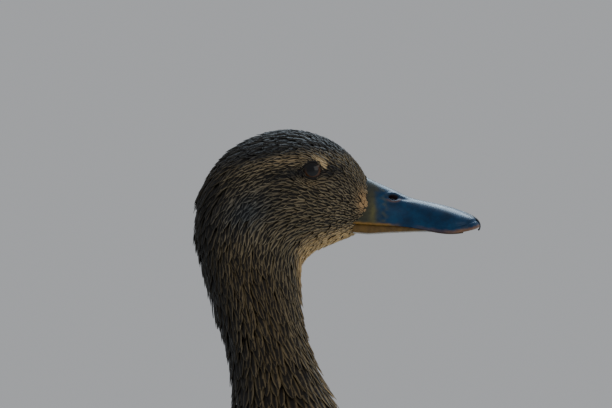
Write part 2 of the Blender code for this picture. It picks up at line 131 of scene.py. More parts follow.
class Form:
    """A smooth closed surface through rows of points. A place on it is (t, turn): t in metres along the rows,
    and turn from 0 at the back, over the bird's left side, to 1 at the belly. Right turns are negative."""

    def __init__(self, points, step):
        self.points, self.step = points, step
        self.along = np.gradient(points, axis=0) / step
        around = (np.roll(points, -1, 1) - np.roll(points, 1, 1)) / 2
        self.normals = unit(np.cross(around, self.along))
        self.length = step * (len(points) - 1)

    def read(self, grid, t, turn):
        """A smooth reading of a grid over the form at arrays t and turn."""
        i, j = np.asarray(t) / self.step, (np.asarray(turn) % 2.0) * SIDES / 2
        i = np.clip(i, 0, len(grid) - 1.0001)
        i0, j0 = np.floor(i).astype(int), np.floor(j).astype(int)
        out = 0
        for k, w in zip((-1, 0, 1, 2), catmull(i - i0)):
            row = np.clip(i0 + k, 0, len(grid) - 1)
            for m, v in zip((-1, 0, 1, 2), catmull(j - j0)):
                out = out + (w * v)[..., None] * grid[row, (j0 + m) % SIDES]
        return out

    def point(self, t, turn):
        """Past its first and last rows the surface runs straight on."""
        past = np.maximum(np.asarray(t) - self.length, 0) + np.minimum(t, 0)
        return self.read(self.points, t, turn) + past[..., None] * self.read(self.along, t, turn)

    def normal(self, t, turn):
        return unit(self.read(self.normals, t, turn))

    def slopes(self, t, turn):
        """How far a place moves for a step in t, and for a step in turn."""
        dt, dturn = self.step, 1 / SIDES
        along = (self.point(t + dt, turn) - self.point(t - dt, turn)) / (2 * dt)
        around = (self.point(t, turn + dturn) - self.point(t, turn - dturn)) / (2 * dturn)
        return along, around


def relax(points, mask, passes):
    """Evens out the points of a grid that a mask picks."""
    for _ in range(passes):
        between = (np.roll(points, 1, 1) + np.roll(points, -1, 1)) / 2
        along = points.copy()
        along[1:-1] = (points[2:] + points[:-2]) / 2
        points[mask] = (points * 0.5 + between * 0.25 + along * 0.25)[mask]


def tree_of(names):
    """A ray-casting tree of CAD nodes."""
    points, faces = [], []
    for name in names:
        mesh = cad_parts[name].data
        faces += [[v + len(points) for v in face.vertices] for face in mesh.polygons]
        points += [v.co.copy() for v in mesh.vertices]
    return BVHTree.FromPolygons(points, faces)


RAY_START = 1.35  # how far out the measuring rays start, as a share of the half width


def measured(nodes, middles, halves):
    """Rows of points on the outside of solids, by rays in each plane towards its centre. middles and halves
    are arrays: each plane's centre, and half of its way from front to back."""
    tree = tree_of(nodes)
    across = Vector((0, 1, 0))
    rows = []
    for middle, half in zip(middles, halves):
        middle, up = Vector(middle), Vector(half).normalized()
        sizes = [tree.ray_cast(middle, d)[3] or 0 for d in (up, -up, across, -across)]
        if min(sizes) == 0:
            rows.append(None)
            continue
        centre = middle + up * (sizes[0] - sizes[1]) / 2 + across * (sizes[2] - sizes[3]) / 2
        tall, wide = (sizes[0] + sizes[1]) / 2, (sizes[2] + sizes[3]) / 2
        row = []
        for j in range(SIDES):
            angle = 2 * math.pi * j / SIDES
            ray = up * tall * math.cos(angle) + across * wide * math.sin(angle)
            hit = tree.ray_cast(centre + ray * RAY_START, -ray.normalized())[0]
            row.append(hit or centre + ray)
        rows.append(row)
    found = [k for k, row in enumerate(rows) if row]
    nearest = [min(found, key=lambda k: abs(k - i)) for i in range(len(rows))]
    grid = np.array([[tuple(p) for p in rows[k]] for k in nearest])
    for i in range(found[0] - 1, -1, -1):  # the first rows run straight on from those inside the solids
        grid[i] = 2 * grid[i + 1] - grid[i + 2]
    return grid


def row_planes(step):
    """Centres and halves of closely spaced row planes, and t of each named one."""
    table = np.array([[*back, *front] for back, front in ROW_PLANES.values()]) * MM
    middles = (table[:, 0:2] + table[:, 2:4]) / 2
    knots = np.concatenate([[0], np.cumsum(np.linalg.norm(np.diff(middles, axis=0), axis=1))])
    places = np.arange(0, knots[-1], step)
    rows = spline(knots, table, places)
    zero = np.zeros(len(rows))
    back, front = np.stack([rows[:, 0], zero, rows[:, 1]], 1), np.stack([rows[:, 2], zero, rows[:, 3]], 1)
    return (back + front) / 2, (back - front) / 2, dict(zip(ROW_PLANES, knots))


ROW_STEP = 1.6 * MM
BODY_NODES = ("head", "neck", "breast", "trunk", "rump", "tail")
WING_NODES = tuple(f"wing{part}_{side}" for part in ("", "_tip") for side in ("left", "right"))
EYE_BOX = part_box("eye_left")
EYE = (EYE_BOX[0] + EYE_BOX[1]) / 2
EYE_RADIUS = (EYE_BOX[1].x - EYE_BOX[0].x) / 2
OPENING = 3.5 * MM  # from the eye's middle to the edge of the open lids
LID_RIM = 0.5 * MM  # how thick the lids are over the eyeball
LIDS_END = 8.2 * MM  # from the eye's middle to where the swelling of the lids dies out


def eye_offset(points):
    """How far points are from the eyes' middles, seen from the side."""
    return np.hypot(points[..., 0] - EYE.x, points[..., 2] - EYE.z)


# The eyes' bulges are evened out, the plumage's steps between the solids softened, and the lids swell again.
middles, halves, T = row_planes(ROW_STEP)
grid = measured(BODY_NODES + WING_NODES, middles, halves)
relax(grid, eye_offset(grid) < 8.0 * MM, 400)
relax(grid, np.ones(grid.shape[:2], bool), 2)
on_body = np.arange(len(grid)) * ROW_STEP > T["neck_foot"]
relax(grid, np.tile(on_body[:, None], SIDES), 10)
over_ball = EYE.y + np.sqrt((EYE_RADIUS + LID_RIM) ** 2 - np.minimum(eye_offset(grid), 4.2 * MM) ** 2)
at_eye = 1 - smooth_step(eye_offset(grid), 3.9 * MM, LIDS_END)
grid[:, :, 1] += (np.sign(grid[:, :, 1]) * over_ball - grid[:, :, 1]) * at_eye
bird = Form(grid, ROW_STEP)

# How deep the plumage is along the bird, from its surface down to the skin, in mm.
DEPTHS = {
    "bill": 0.5, "eye": 1.0, "crown": 1.3, "occiput": 1.5, "nape": 1.8, "neck_top": 2.0, "neck_mid": 2.4,
    "neck_foot": 3.6, "shoulder": 5.5, "breast": 6.5, "keel": 7.0, "belly": 7.0, "vent": 7.0,
    "tail_root": 5.0, "tail_coverts": 3.4, "tail_fan": 2.0, "tail_tip": 0.5,
}


def along_bird(table, t):
    """Read at t along the bird, a table of sizes in mm by the names of its row planes."""
    return np.interp(t, [T[name] for name in table], list(table.values())) * MM


def mesh_object(name, points, faces):
    """A smooth object from an array of points and an array of faces with 4 (or 3) corners."""
    faces = np.asarray(faces)
    mesh = bpy.data.meshes.new(name)
    mesh.vertices.add(len(points))
    mesh.vertices.foreach_set("co", np.asarray(points, np.float32).ravel())
    mesh.loops.add(faces.size)
    mesh.loops.foreach_set("vertex_index", faces.ravel().astype(np.int32))
    mesh.polygons.add(len(faces))
    mesh.polygons.foreach_set("loop_start", np.arange(len(faces), dtype=np.int32) * faces.shape[1])
    mesh.update(calc_edges=True)
    mesh.validate()
    mesh.shade_smooth()
    made = bpy.data.objects.new(name, mesh)
    bpy.context.scene.collection.objects.link(made)
    return made


def set_uv(mesh, name, per_vertex, round_by=None):
    """Adds a UV map that gives each corner its vertex's value. Where the second value goes round the piece,
    round_by is its full round, and the faces that close the round get it."""
    layer = mesh.uv_layers.new(name=name)
    corner, starts = np.empty(len(mesh.loops), np.int32), np.empty(len(mesh.polygons), np.int32)
    mesh.loops.foreach_get("vertex_index", corner)
    values = np.asarray(per_vertex, np.float32)[corner]
    if round_by:
        mesh.polygons.foreach_get("loop_start", starts)
        sizes = np.diff(np.append(starts, len(corner)))
        most = np.repeat(np.maximum.reduceat(values[:, 1], starts), sizes)
        closing = (most - values[:, 1] > round_by / 2) & np.repeat(sizes == 4, sizes)
        values[:, 1] += round_by * closing
    layer.data.foreach_set("uv", values.ravel())


def set_colour(mesh, name, per_vertex):
    """Adds a colour attribute from an array with up to four values a vertex."""
    layer = mesh.color_attributes.new(name=name, type="FLOAT_COLOR", domain="POINT")
    values = np.ones((len(mesh.vertices), 4), np.float32)
    values[:, : per_vertex.shape[1]] = per_vertex
    layer.data.foreach_set("color", values.ravel())


def tube_faces(rows, columns):
    """Faces of a grid of points whose columns close on themselves."""
    i, j = pairs(np.arange(rows - 1), np.arange(columns))
    here, right = i * columns + j, i * columns + (j + 1) % columns
    return np.stack([here, right, right + columns, here + columns], -1)


def cap_ends(made):
    """Closes a tube's open ends."""
    bm = bmesh.new()
    bm.from_mesh(made.data)
    bmesh.ops.holes_fill(bm, edges=[edge for edge in bm.edges if edge.is_boundary])
    bmesh.ops.recalc_face_normals(bm, faces=bm.faces)
    bm.to_mesh(made.data)
    bm.free()


def tube_object(name, rows):
    """A closed object through rows of points, each row a ring."""
    rows = np.asarray(rows)
    made = mesh_object(name, rows.reshape(-1, 3), tube_faces(rows.shape[0], rows.shape[1]))
    cap_ends(made)
    return made


def join_solid(target, *others):
    """Joins closed pieces to another as one closed surface, and removes them."""
    for other in others:
        modifier = target.modifiers.new("join", "BOOLEAN")
        modifier.operation, modifier.object = "UNION", other
    graph = bpy.context.evaluated_depsgraph_get()
    joined = bpy.data.meshes.new_from_object(target.evaluated_get(graph))
    target.modifiers.clear()
    target.data = joined
    for other in others:
        bpy.data.objects.remove(other)


SKIN_START, SKIN_END = -1.6 * MM, T["tail_fan"] - 3 * MM
SKIN_COLUMNS = 160
places = np.concatenate([
    np.arange(SKIN_START, T["occiput"], 0.8 * MM),
    np.arange(T["occiput"], T["neck_foot"], 1.6 * MM),
    np.arange(T["neck_foot"], SKIN_END, 3.2 * MM),
])
turns = np.arange(SKIN_COLUMNS) * 2 / SKIN_COLUMNS
skin_t, skin_turn = pairs(places, turns)
skin_points = bird.point(skin_t, skin_turn)
skin_points -= bird.normal(skin_t, skin_turn) * along_bird(DEPTHS, skin_t)[:, None]
skin_tree = BVHTree.FromPolygons(skin_points.tolist(), tube_faces(len(places), SKIN_COLUMNS).tolist())
# The eye sockets: the skin sinks behind the eyeballs.
SOCKET_DEPTH = 6.5 * MM
sunk = (1 - smooth_step(eye_offset(skin_points), 3.6 * MM, 5.6 * MM)) * SOCKET_DEPTH
skin_points[:, 1] -= np.sign(skin_points[:, 1]) * sunk
skin = tube_object("skin", skin_points.reshape(len(places), SKIN_COLUMNS, 3))

LID_COLUMNS = 72
# Across a lid, from inside the eyeball out over the rim and down into the skin: distance from the eye's
# middle as a share of the opening, and height over the eyeball or, further out, over the skin, in mm.
LID_SECTION = (
    (0.98, -1.2), (0.97, -0.1), (1.01, 0.28), (1.08, 0.46), (1.16, 0.42), (1.22, 0.26), (1.29, 0.34),
    (1.37, 0.28), (1.44, 0.14), (1.53, 0.20), (1.64, 0.10), (1.80, 0.02), (2.05, -0.35), (2.15, -1.6),
    (1.6, -3.2), (1.15, -2.8),
)


def lid_reach(angle):
    """How far the open lids' edge is from the eye's middle: an almond with a point in front and behind."""
    almond = 1 + 0.20 * np.abs(np.cos(angle)) ** 4 - 0.03 * np.abs(np.sin(angle)) ** 2
    almond -= 0.13 * np.maximum(-np.sin(angle), 0) ** 2  # the lower lid lies flatter
    return OPENING * almond


joined = []
for word, side in (("left", 1), ("right", -1)):
    rings = []
    for share, height in LID_SECTION:
        ring = []
        for k in range(LID_COLUMNS):
            angle = 2 * math.pi * k / LID_COLUMNS
            reach = lid_reach(angle) * share
            x, z = EYE.x + reach * math.cos(angle), EYE.z + reach * math.sin(angle)
            ball = EYE.y + math.sqrt(max(EYE_RADIUS**2 - reach**2, 0))
            hit = skin_tree.ray_cast(Vector((x, side * 0.05, z)), Vector((0, -side, 0)))[0]
            under = abs(hit.y) if hit else ball
            on_ball = 1 - float(smooth_step(share, 1.15, 1.95))
            over = max(ball * on_ball + under * (1 - on_ball), ball + 0.12 * MM * (share > 1.1))
            ring.append((x, side * (over + height * MM), z))
        rings.append(ring)
    rings.append(rings[0])
    rings = np.array(rings)
    faces = tube_faces(len(rings), LID_COLUMNS) % ((len(rings) - 1) * LID_COLUMNS)
    lid = mesh_object(f"lid_{word}", rings[:-1].reshape(-1, 3), faces)
    cap_ends(lid)
    joined.append(lid)

# The feathered thighs, from inside the belly down to the ankle, in mm for the left side.
THIGH_TOP, ANKLE = Vector((34.2, 33.0, 96.0)), Vector((16.2, 30.5, 52.2))
THIGH_RADIUS, ANKLE_RADIUS, THIGH_DEPTH = 16.6, 5.2, 1.2  # the last is front to back over side to side
THIGH_STEP = 1.5 * MM
thighs = {}
for word, side in (("left", 1), ("right", -1)):
    count = int((ANKLE - THIGH_TOP).length * MM / THIGH_STEP) + 1
    rows = []
    for k in range(count):
        share = k / (count - 1)
        centre = THIGH_TOP.lerp(ANKLE, share)
        radius = ANKLE_RADIUS + (THIGH_RADIUS - ANKLE_RADIUS) * math.cos(math.pi / 2 * share) ** 0.7
        row = []
        for j in range(SIDES):
            angle = 2 * math.pi * j / SIDES
            x = centre.x - THIGH_DEPTH * radius * math.cos(angle)
            y = side * centre.y + radius * math.sin(angle)
            row.append((x, y, centre.z))
        rows.append(row)
    thighs[word] = Form(np.array(rows) * MM, THIGH_STEP)
THIGH_COAT = 1.8 * MM
thigh_rows = np.arange(0, thighs["left"].length, 2 * MM)
thigh_t, thigh_turn = np.meshgrid(thigh_rows, np.arange(48) / 24, indexing="ij")
for word, form in thighs.items():
    inner = form.point(thigh_t, thigh_turn) - form.normal(thigh_t, thigh_turn) * THIGH_COAT
    joined.append(tube_object(f"thigh_skin_{word}", inner))


# ---- Markings ------------------------------------------------------------------------------------------
# A hen's feathers are dark along the middle and buff at the edge. How dark, how buff and how wide each part
# is changes over the bird, and the skin below wears the same colours.


def colour(red, green, blue):
    """A colour given as a paint chart would, 0 to 255, in the renderer's own scale."""
    shares = np.array((red, green, blue)) / 255
    return np.where(shares > 0.04, ((shares + 0.055) / 1.055) ** 2.4, shares / 12.92)


def ripple(points, size, seed):
    """Soft unevenness over the bird, -1 to 1, in patches of about the given size."""
    rng = np.random.default_rng(seed)
    waves = unit(rng.normal(size=(6, 3))) * (2 * math.pi / size) * rng.uniform(0.6, 1.4, (6, 1))
    return np.sin(points @ waves.T + rng.uniform(0, 6.28, 6)).mean(axis=1) * 1.6


# The ear colours are blue-grey: a painted cool sheen of sky light on dark feathers.
DARK = {
    "crown": colour(20, 19, 21), "hind_neck": colour(23, 21, 21), "cheek": colour(28, 24, 21),
    "ear": colour(18, 22, 28), "lid": colour(22, 18, 16), "breast": colour(50, 36, 26),
    "mantle": colour(38, 30, 24), "belly": colour(112, 88, 62), "flank": colour(60, 45, 32),
    "rump": colour(38, 30, 24),
}
PALE = {
    "crown": colour(76, 75, 72), "hind_neck": colour(66, 60, 50), "cheek": colour(142, 128, 102),
    "ear": colour(74, 86, 96), "neck": colour(108, 93, 68),
    "brow": colour(176, 152, 116), "throat": colour(190, 160, 112), "crescent": colour(212, 184, 138),
    "lore_patch": colour(178, 144, 104), "breast": colour(160, 128, 91), "mantle": colour(150, 116, 78),
    "belly": colour(200, 174, 134), "flank": colour(190, 155, 112), "rump": colour(138, 110, 76),
}


def markings(points, t, turn):
    """For places on the bird: dark and pale colours, and for each feather there the share of its half width
    that is dark, how far the pale border goes round its tip, and the strength of a pale ring in the dark."""
    side = np.abs(((np.asarray(turn) + 1) % 2) - 1)
    x, z = (points[:, 0] - EYE.x) / MM, (points[:, 2] - EYE.z) / MM
    dark = np.tile(DARK["cheek"], (len(t), 1))
    pale = np.tile(PALE["cheek"], (len(t), 1))
    marks = np.tile((0.58, 0.12, 0.0), (len(t), 1))

    def paint(mask, dark_name, pale_name, streak, border=None, ring=None):
        """Moves the colours and marks towards new ones, by the mask."""
        mask = np.clip(mask, 0, 1)[:, None]
        if dark_name:
            dark[:] += (DARK[dark_name] - dark) * mask
        if pale_name:
            pale[:] += (PALE[pale_name] - pale) * mask
        for k, value in enumerate((streak, border, ring)):
            if value is not None:
                marks[:, k : k + 1] += (value - marks[:, k : k + 1]) * mask

    def spot(x0, z0, half_length, half_height, tilt=0.0):
        """A soft oval round a place given in mm from the eye's middle, forwards and up."""
        c, s = math.cos(tilt), math.sin(tilt)
        along, up = (x - x0) * c + (z - z0) * s, (z - z0) * c - (x - x0) * s
        return np.exp(-((along / half_length) ** 2) - (up / half_height) ** 2)

    head = 1 - smooth_step(t, T["nape_top"], T["neck_top"])
    # The crown is dark down to a line over the eye, and the dark runs on down the back of the neck.
    crown_line = 8.2 + 0.20 * np.minimum(x + 4, 0) - 0.10 * np.maximum(x, 0)
    paint(smooth_step(z - crown_line, -2.5, 2.5) * head, "crown", "crown", 0.66)
    hind_neck = (1 - smooth_step(side, 0.16, 0.46)) * smooth_step(t, T["hind_crown"], T["nape_top"])
    paint(hind_neck, "hind_neck", "hind_neck", 0.78)
    # Behind the cheek, a blue-grey patch whose blue is a painted cool sheen of sky light.
    paint(spot(-27, -17, 12, 8, 0.5) * 0.8, "ear", "ear", 0.70)
    # A pale brow over a dark line through the eye.
    brow_line = 5.4 - 0.004 * np.minimum(x, 0) ** 2 + 0.06 * np.minimum(x, 0)
    brow = np.exp(-(((z - brow_line) / 2.1) ** 2)) * smooth_step(x, -27, -12) * (1 - smooth_step(x, 5, 12))
    brow *= 1 - 0.6 * smooth_step(x, -7, -1)
    paint(brow * head * 0.65, None, "brow", 0.46)
    eye_line = np.exp(-(((z + 0.9 - 0.10 * x) / 1.9) ** 2))
    eye_line *= smooth_step(x, -26, -8) * (1 - smooth_step(x, 9, 17))
    paint(eye_line * 0.9 * head, "crown", "crown", 0.84)
    paint(spot(12.5, -6.0, 6.5, 5.0, 0.3) * 0.3, "crown", "crown", 0.70)
    paint(spot(5.4, -1.1, 1.9, 1.0) + spot(-5.6, -0.9, 2.0, 1.1, 0.1), "crown", "crown", 0.9)
    # A broken ring round the eye: buff over its front, and fainter below.
    crescent = np.exp(-(((np.hypot(x, z) - 5.2) / 1.0) ** 2) - ((np.arctan2(z, x) - 0.64) / 0.50) ** 2)
    paint(crescent * 1.4, "cheek", "crescent", 0.12)
    paint(spot(-1.0, 5.6, 2.6, 0.8, 0.1) * 0.3, None, "brow", 0.40)
    paint(spot(0.0, -5.6, 3.6, 0.9) * 0.7, None, "brow", 0.30)
    neck = smooth_step(t, T["occiput"], T["neck_top"])
    neck *= smooth_step(side, 0.20, 0.46) * (1 - smooth_step(side, 0.56, 0.92))
    paint(neck, None, "neck", 0.62)
    # Chin, throat and a patch at the corner of the bill are plain buff.
    jaw = 0.69 + 0.15 * smooth_step(t, T["crown"], T["nape"])
    below = smooth_step(t, T["nape_top"], T["neck_top"] - 4 * MM)
    paint(smooth_step(side, jaw, jaw + 0.20) * (1 - 0.8 * below), "belly", "throat", 0.10)
    neck_front = smooth_step(side, 0.88, 0.98) * smooth_step(t, T["nape"], T["neck_top"])
    paint(neck_front * 0.3, None, "throat", 0.52)
    paint(spot(21.5, -13.6, 2.6, 5.0, 0.1) * 1.3, None, "lore_patch", 0.02)
    # Neck, then the body's wider feathers with a border all round.
    paint(smooth_step(t, T["neck_foot"], T["shoulder"]), "breast", "breast", 0.74, 1.0, 0.18)
    upper = smooth_step(t, T["shoulder"], T["breast"]) * (1 - smooth_step(side, 0.30, 0.46))
    paint(upper, "mantle", "mantle", 0.80, 1.0, 0.5)
    under = smooth_step(t, T["keel"], T["belly"]) * smooth_step(side, 0.66, 0.84)
    paint(under, "belly", "belly", 0.30, 1.0, 0.0)
    flank = smooth_step(t, T["breast"], T["keel"]) * np.exp(-(((side - 0.58) / 0.13) ** 2))
    paint(flank, "flank", "flank", 0.74, 1.0, 0.9)
    rump = smooth_step(t, T["hip"], T["vent"]) * (1 - smooth_step(side, 0.40, 0.60))
    paint(rump, "rump", "rump", 0.80, 1.0, 0.3)
    shade = (1 + 0.12 * ripple(points, 24 * MM, 3) + 0.07 * ripple(points, 7 * MM, 4))[:, None]
    return dark * shade, pale * shade, marks


class Wiring:
    """Adds nodes to a shader tree and joins them."""

    def __init__(self, tree):
        self.tree = tree

    def put(self, kind, inputs=None, **settings):
        """A new node. Its inputs are constants or the outputs of other nodes."""
        node = self.tree.nodes.new(kind)
        for name, value in settings.items():
            setattr(node, name, value)
        for socket, value in (inputs or {}).items():
            if isinstance(value, bpy.types.NodeSocket):
                self.tree.links.new(value, node.inputs[socket])
            else:
                node.inputs[socket].default_value = value
        return node

    def math(self, operation, *values):
        return self.put("ShaderNodeMath", dict(enumerate(values)), operation=operation).outputs[0]

    def between(self, value, low, high):
        """0 below low, 1 above high, smooth between."""
        inputs = {"Value": value, "From Min": low, "From Max": high}
        return self.put("ShaderNodeMapRange", inputs, interpolation_type="SMOOTHSTEP").outputs[0]

    def mix(self, share, first, second, blend="MIX"):
        """The first colour, with that share of the second laid over it."""
        inputs = {0: share, 6: first, 7: second}
        return self.put("ShaderNodeMix", inputs, data_type="RGBA", blend_type=blend).outputs[2]

    def noise(self, scale, detail=2.0, vector=None):
        vector = vector or self.put("ShaderNodeTexCoord").outputs["Object"]
        inputs = {"Vector": vector, "Scale": scale, "Detail": detail}
        return self.put("ShaderNodeTexNoise", inputs).outputs["Fac"]

    def attribute(self, name):
        return self.put("ShaderNodeAttribute", attribute_name=name).outputs[0]

    def vane(self):
        """Where on a vane: across it and along it, 0 to 1, and how far from its shaft, 0 to 1."""
        places = self.put("ShaderNodeUVMap", uv_map="vane").outputs[0]
        across, along, _ = self.put("ShaderNodeSeparateXYZ", {0: places}).outputs
        return across, along, self.math("ABSOLUTE", self.math("MULTIPLY_ADD", across, 2.0, -1.0))

    def feed(self, value, into, socket):
        """Joins an output to a node's input."""
        self.tree.links.new(value, into.inputs[socket])

    def bump(self, height, strength, distance, into):
        """Gives a shader the relief of a height."""
        inputs = {"Height": height, "Strength": strength, "Distance": distance}
        self.feed(self.put("ShaderNodeBump", inputs).outputs[0], into, "Normal")


def new_group(name, inputs, outputs):
    """An empty shader group, with (label, kind, default) for each input and (label, kind) for each output."""
    tree = bpy.data.node_groups.new(name, "ShaderNodeTree")
    for label, kind, default in inputs:
        tree.interface.new_socket(label, in_out="INPUT", socket_type=kind).default_value = default
    for label, kind in outputs:
        tree.interface.new_socket(label, in_out="OUTPUT", socket_type=kind)
    return Wiring(tree), tree.nodes.new("NodeGroupInput").outputs, tree.nodes.new("NodeGroupOutput")


FLOAT, COLOUR = "NodeSocketFloat", "NodeSocketColor"

# The marks within one vane: dark middle, pale rim, a ring inside the dark, the shaft and the barbs.
wires, given, result = new_group(
    "feather_marks",
    (("Dark", COLOUR, (0.03, 0.02, 0.01, 1)), ("Pale", COLOUR, (0.3, 0.2, 0.1, 1)), ("Streak", FLOAT, 0.5),
     ("Border", FLOAT, 0.0), ("Ring", FLOAT, 0.0), ("Barbs", FLOAT, 20.0), ("Unevenness", FLOAT, 0.3),
     ("Softness", FLOAT, 0.15)),
    (("Color", COLOUR), ("Height", FLOAT), ("Roughness", FLOAT)),
)
feather_marks = wires.tree
_, along, across = wires.vane()
tipwards = wires.math("MULTIPLY", wires.math("POWER", along, 4.0), given["Border"])
ragged = wires.math("MULTIPLY", wires.math("SUBTRACT", wires.noise(500.0), 0.5), given["Unevenness"])
tipwards_squared = wires.math("MULTIPLY", tipwards, tipwards)
rounded = wires.math("SQRT", wires.math("MULTIPLY_ADD", across, across, tipwards_squared))
barb_phase = wires.math("MULTIPLY", wires.math("MULTIPLY_ADD", across, -0.35, along), given["Barbs"])
barb = wires.math("SINE", wires.math("MULTIPLY", barb_phase, 2 * math.pi))
rim = wires.math("MULTIPLY_ADD", barb, 0.05, wires.math("ADD", rounded, ragged))
streak_low = wires.math("SUBTRACT", given["Streak"], given["Softness"])
streak_high = wires.math("ADD", given["Streak"], given["Softness"])
dark_share = wires.math("SUBTRACT", 1.0, wires.between(rim, streak_low, streak_high))
ring_edges = [wires.math("MULTIPLY", given["Streak"], share) for share in (0.40, 0.50, 0.64, 0.74)]
ring_band = wires.math("SUBTRACT", wires.between(rim, *ring_edges[:2]), wires.between(rim, *ring_edges[2:]))
outside_ring = wires.math("SUBTRACT", 1.0, wires.math("MULTIPLY", ring_band, given["Ring"]))
dark_share = wires.math("MULTIPLY", dark_share, outside_ring)
shaft = wires.math("SUBTRACT", 1.0, wires.between(across, 0.02, 0.10))
tint = wires.mix(dark_share, given["Pale"], given["Dark"])
tint = wires.mix(wires.math("MULTIPLY", shaft, 0.3), tint, given["Dark"])
barb_shade = wires.math("MULTIPLY_ADD", barb, 0.12, 1.0)
shade = wires.put("ShaderNodeCombineXYZ", {0: barb_shade, 1: barb_shade, 2: barb_shade}).outputs[0]
wires.feed(wires.mix(1.0, tint, shade, "MULTIPLY"), result, "Color")
wires.feed(wires.math("MULTIPLY_ADD", barb, 0.35, shaft), result, "Height")
wires.feed(wires.math("MULTIPLY_ADD", dark_share, -0.20, 0.66), result, "Roughness")


def new_material(name, roughness=0.6, specular=0.5, **constants):
    """A material with its Principled shader, and its wiring. constants are sockets' own values."""
    made = bpy.data.materials.new(name)
    made.use_nodes = True
    shader = made.node_tree.nodes["Principled BSDF"]
    shader.inputs["Roughness"].default_value = roughness
    shader.inputs["Specular IOR Level"].default_value = specular
    for label, value in constants.items():
        shader.inputs[label.replace("_", " ")].default_value = value
    return made, shader, Wiring(made.node_tree)


def feather_material(name, barbs, bump, unevenness=0.2, softness=0.15):
    """A vane's finish: the marks of each feather from its own colours, with fine barbs."""
    made, shader, wires = new_material(name, specular=0.16)
    marks = wires.put("ShaderNodeSeparateColor", {0: wires.attribute("marks")}).outputs
    given = {"Dark": wires.attribute("dark"), "Pale": wires.attribute("pale")}
    given |= {"Streak": marks[0], "Border": marks[1], "Ring": marks[2]}
    given |= {"Barbs": barbs, "Unevenness": unevenness, "Softness": softness}
    group = wires.put("ShaderNodeGroup", given, node_tree=feather_marks)
    wires.feed(group.outputs["Color"], shader, "Base Color")
    wires.feed(group.outputs["Roughness"], shader, "Roughness")
    wires.bump(group.outputs["Height"], bump, 0.2 * MM, shader)
    return made


# The skin's finish, mottled but mostly dark as painted shade in the gaps between feathers, and its pieces
# joined into one.
down, shader, wires = new_material("skin_and_down", 0.8)
dark, pale = wires.attribute("dark"), wires.attribute("pale")
mottle = wires.between(wires.noise(900.0, 4.0), 0.35, 0.7)
# Painted shade: little of the pale is mixed in, so the skin reads dark where it shows between feathers.
wires.feed(wires.mix(mottle, dark, wires.mix(0.15, dark, pale)), shader, "Base Color")
wires.bump(wires.noise(1400.0, 3.0), 0.5, 0.3 * MM, shader)
TUBE_SHARE = 0.84  # of the unwrapped skin's height is the body's, and the rest the lids' and thighs'


def vertices_of(made):
    """The object's points as an array."""
    points = np.empty(len(made.data.vertices) * 3, np.float32)
    made.data.vertices.foreach_get("co", points)
    return points.reshape(-1, 3)


def grid_shares(rows, columns):
    """For each point of a grid, how far along its rows and its columns it is, 0 to 1."""
    return pairs(np.arange(rows) / rows, np.arange(columns) / columns)


def finder(places):
    """A tree that finds which of some places is nearest."""
    tree = KDTree(len(places))
    for k, place in enumerate(places.tolist()):
        tree.insert(place, k)
    tree.balance()
    return tree


skin_along = (skin_t - SKIN_START) / (SKIN_END - SKIN_START)
skin.data.materials.append(down)
set_uv(skin.data, "OFBake", np.stack([skin_along, skin_turn / 2 * TUBE_SHARE], 1), TUBE_SHARE)
sources = [(skin_points, *markings(skin_points, skin_t, skin_turn)[:2])]
for k, made in enumerate(joined):
    count = len(made.data.vertices)
    if made.name.startswith("lid"):
        colours = np.tile(DARK["lid"], (count, 1)), np.tile(DARK["crown"], (count, 1))
        rows, columns, height = len(LID_SECTION), LID_COLUMNS, 0.06
    else:
        colours = np.tile(DARK["belly"], (count, 1)), np.tile(PALE["belly"], (count, 1))
        rows, columns, height = *thigh_t.shape, 0.08
    along, round_it = grid_shares(rows, columns)
    left, bottom = k % 2 * 0.5, TUBE_SHARE + 0.005 + (0.085 if k >= 2 else 0.0)
    uv = np.stack([left + 0.48 * along, bottom + round_it * height], 1)
    made.data.materials.append(down)
    set_uv(made.data, "OFBake", uv, height)
    sources.append((vertices_of(made), *colours))
join_solid(skin, *joined)
skin.data.shade_smooth()
coloured = [np.concatenate(values) for values in zip(*sources)]
nearest = finder(coloured[0])
picked = [nearest.find(place)[1] for place in vertices_of(skin).tolist()]
set_colour(skin.data, "dark", coloured[1][picked])
set_colour(skin.data, "pale", coloured[2][picked])
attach(skin, "root")
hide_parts(*BODY_NODES, *WING_NODES, "thigh_left", "thigh_right")


# ---- Small feathers of the head, neck and body -----------------------------------------------------------
# Contour feathers, each rooted in the skin and lying back over the next. They are smallest round the bill
# and the eye, narrow and hair-like on the head and neck, and broad with rounded tips on the body.

SIZES = {  # length, width and spacing, in mm
    "bill": (2.4, 1.3, 1.0), "eye": (3.9, 1.9, 1.4), "crown": (5.0, 1.95, 1.4), "occiput": (6.0, 2.1, 1.5),
    "nape": (7.4, 2.2, 1.65), "neck_top": (8.6, 2.3, 1.75), "neck_mid": (10.2, 2.5, 1.95),
    "neck_foot": (12.5, 3.7, 2.6), "shoulder": (15.5, 7.0, 4.2), "breast": (18.5, 10.2, 5.6),
    "keel": (21.0, 11.5, 6.5), "belly": (23.0, 12.0, 7.0), "vent": (27.0, 13.0, 8.0),
    "tail_root": (28.0, 13.0, 7.5), "tail_coverts": (27.0, 12.0, 7.0), "tail_fan": (20.0, 9.0, 6.0),
}
LIFTS = {  # how far the feathers' tips stand over the form, in mm
    "bill": 0.3, "eye": 0.45, "crown": 0.65, "occiput": 0.9, "nape": 1.2, "neck_top": 1.2, "neck_mid": 1.2,
    "neck_foot": 1.0, "shoulder": 0.6, "tail_tip": 0.5,
}


def size_at(t):
    """The feathers' length, width and spacing at t along the bird."""
    return [along_bird({name: sizes[k] for name, sizes in SIZES.items()}, t) for k in range(3)]


TRIES = 3.6  # places tried for each square of the spacing, so that no gap is left


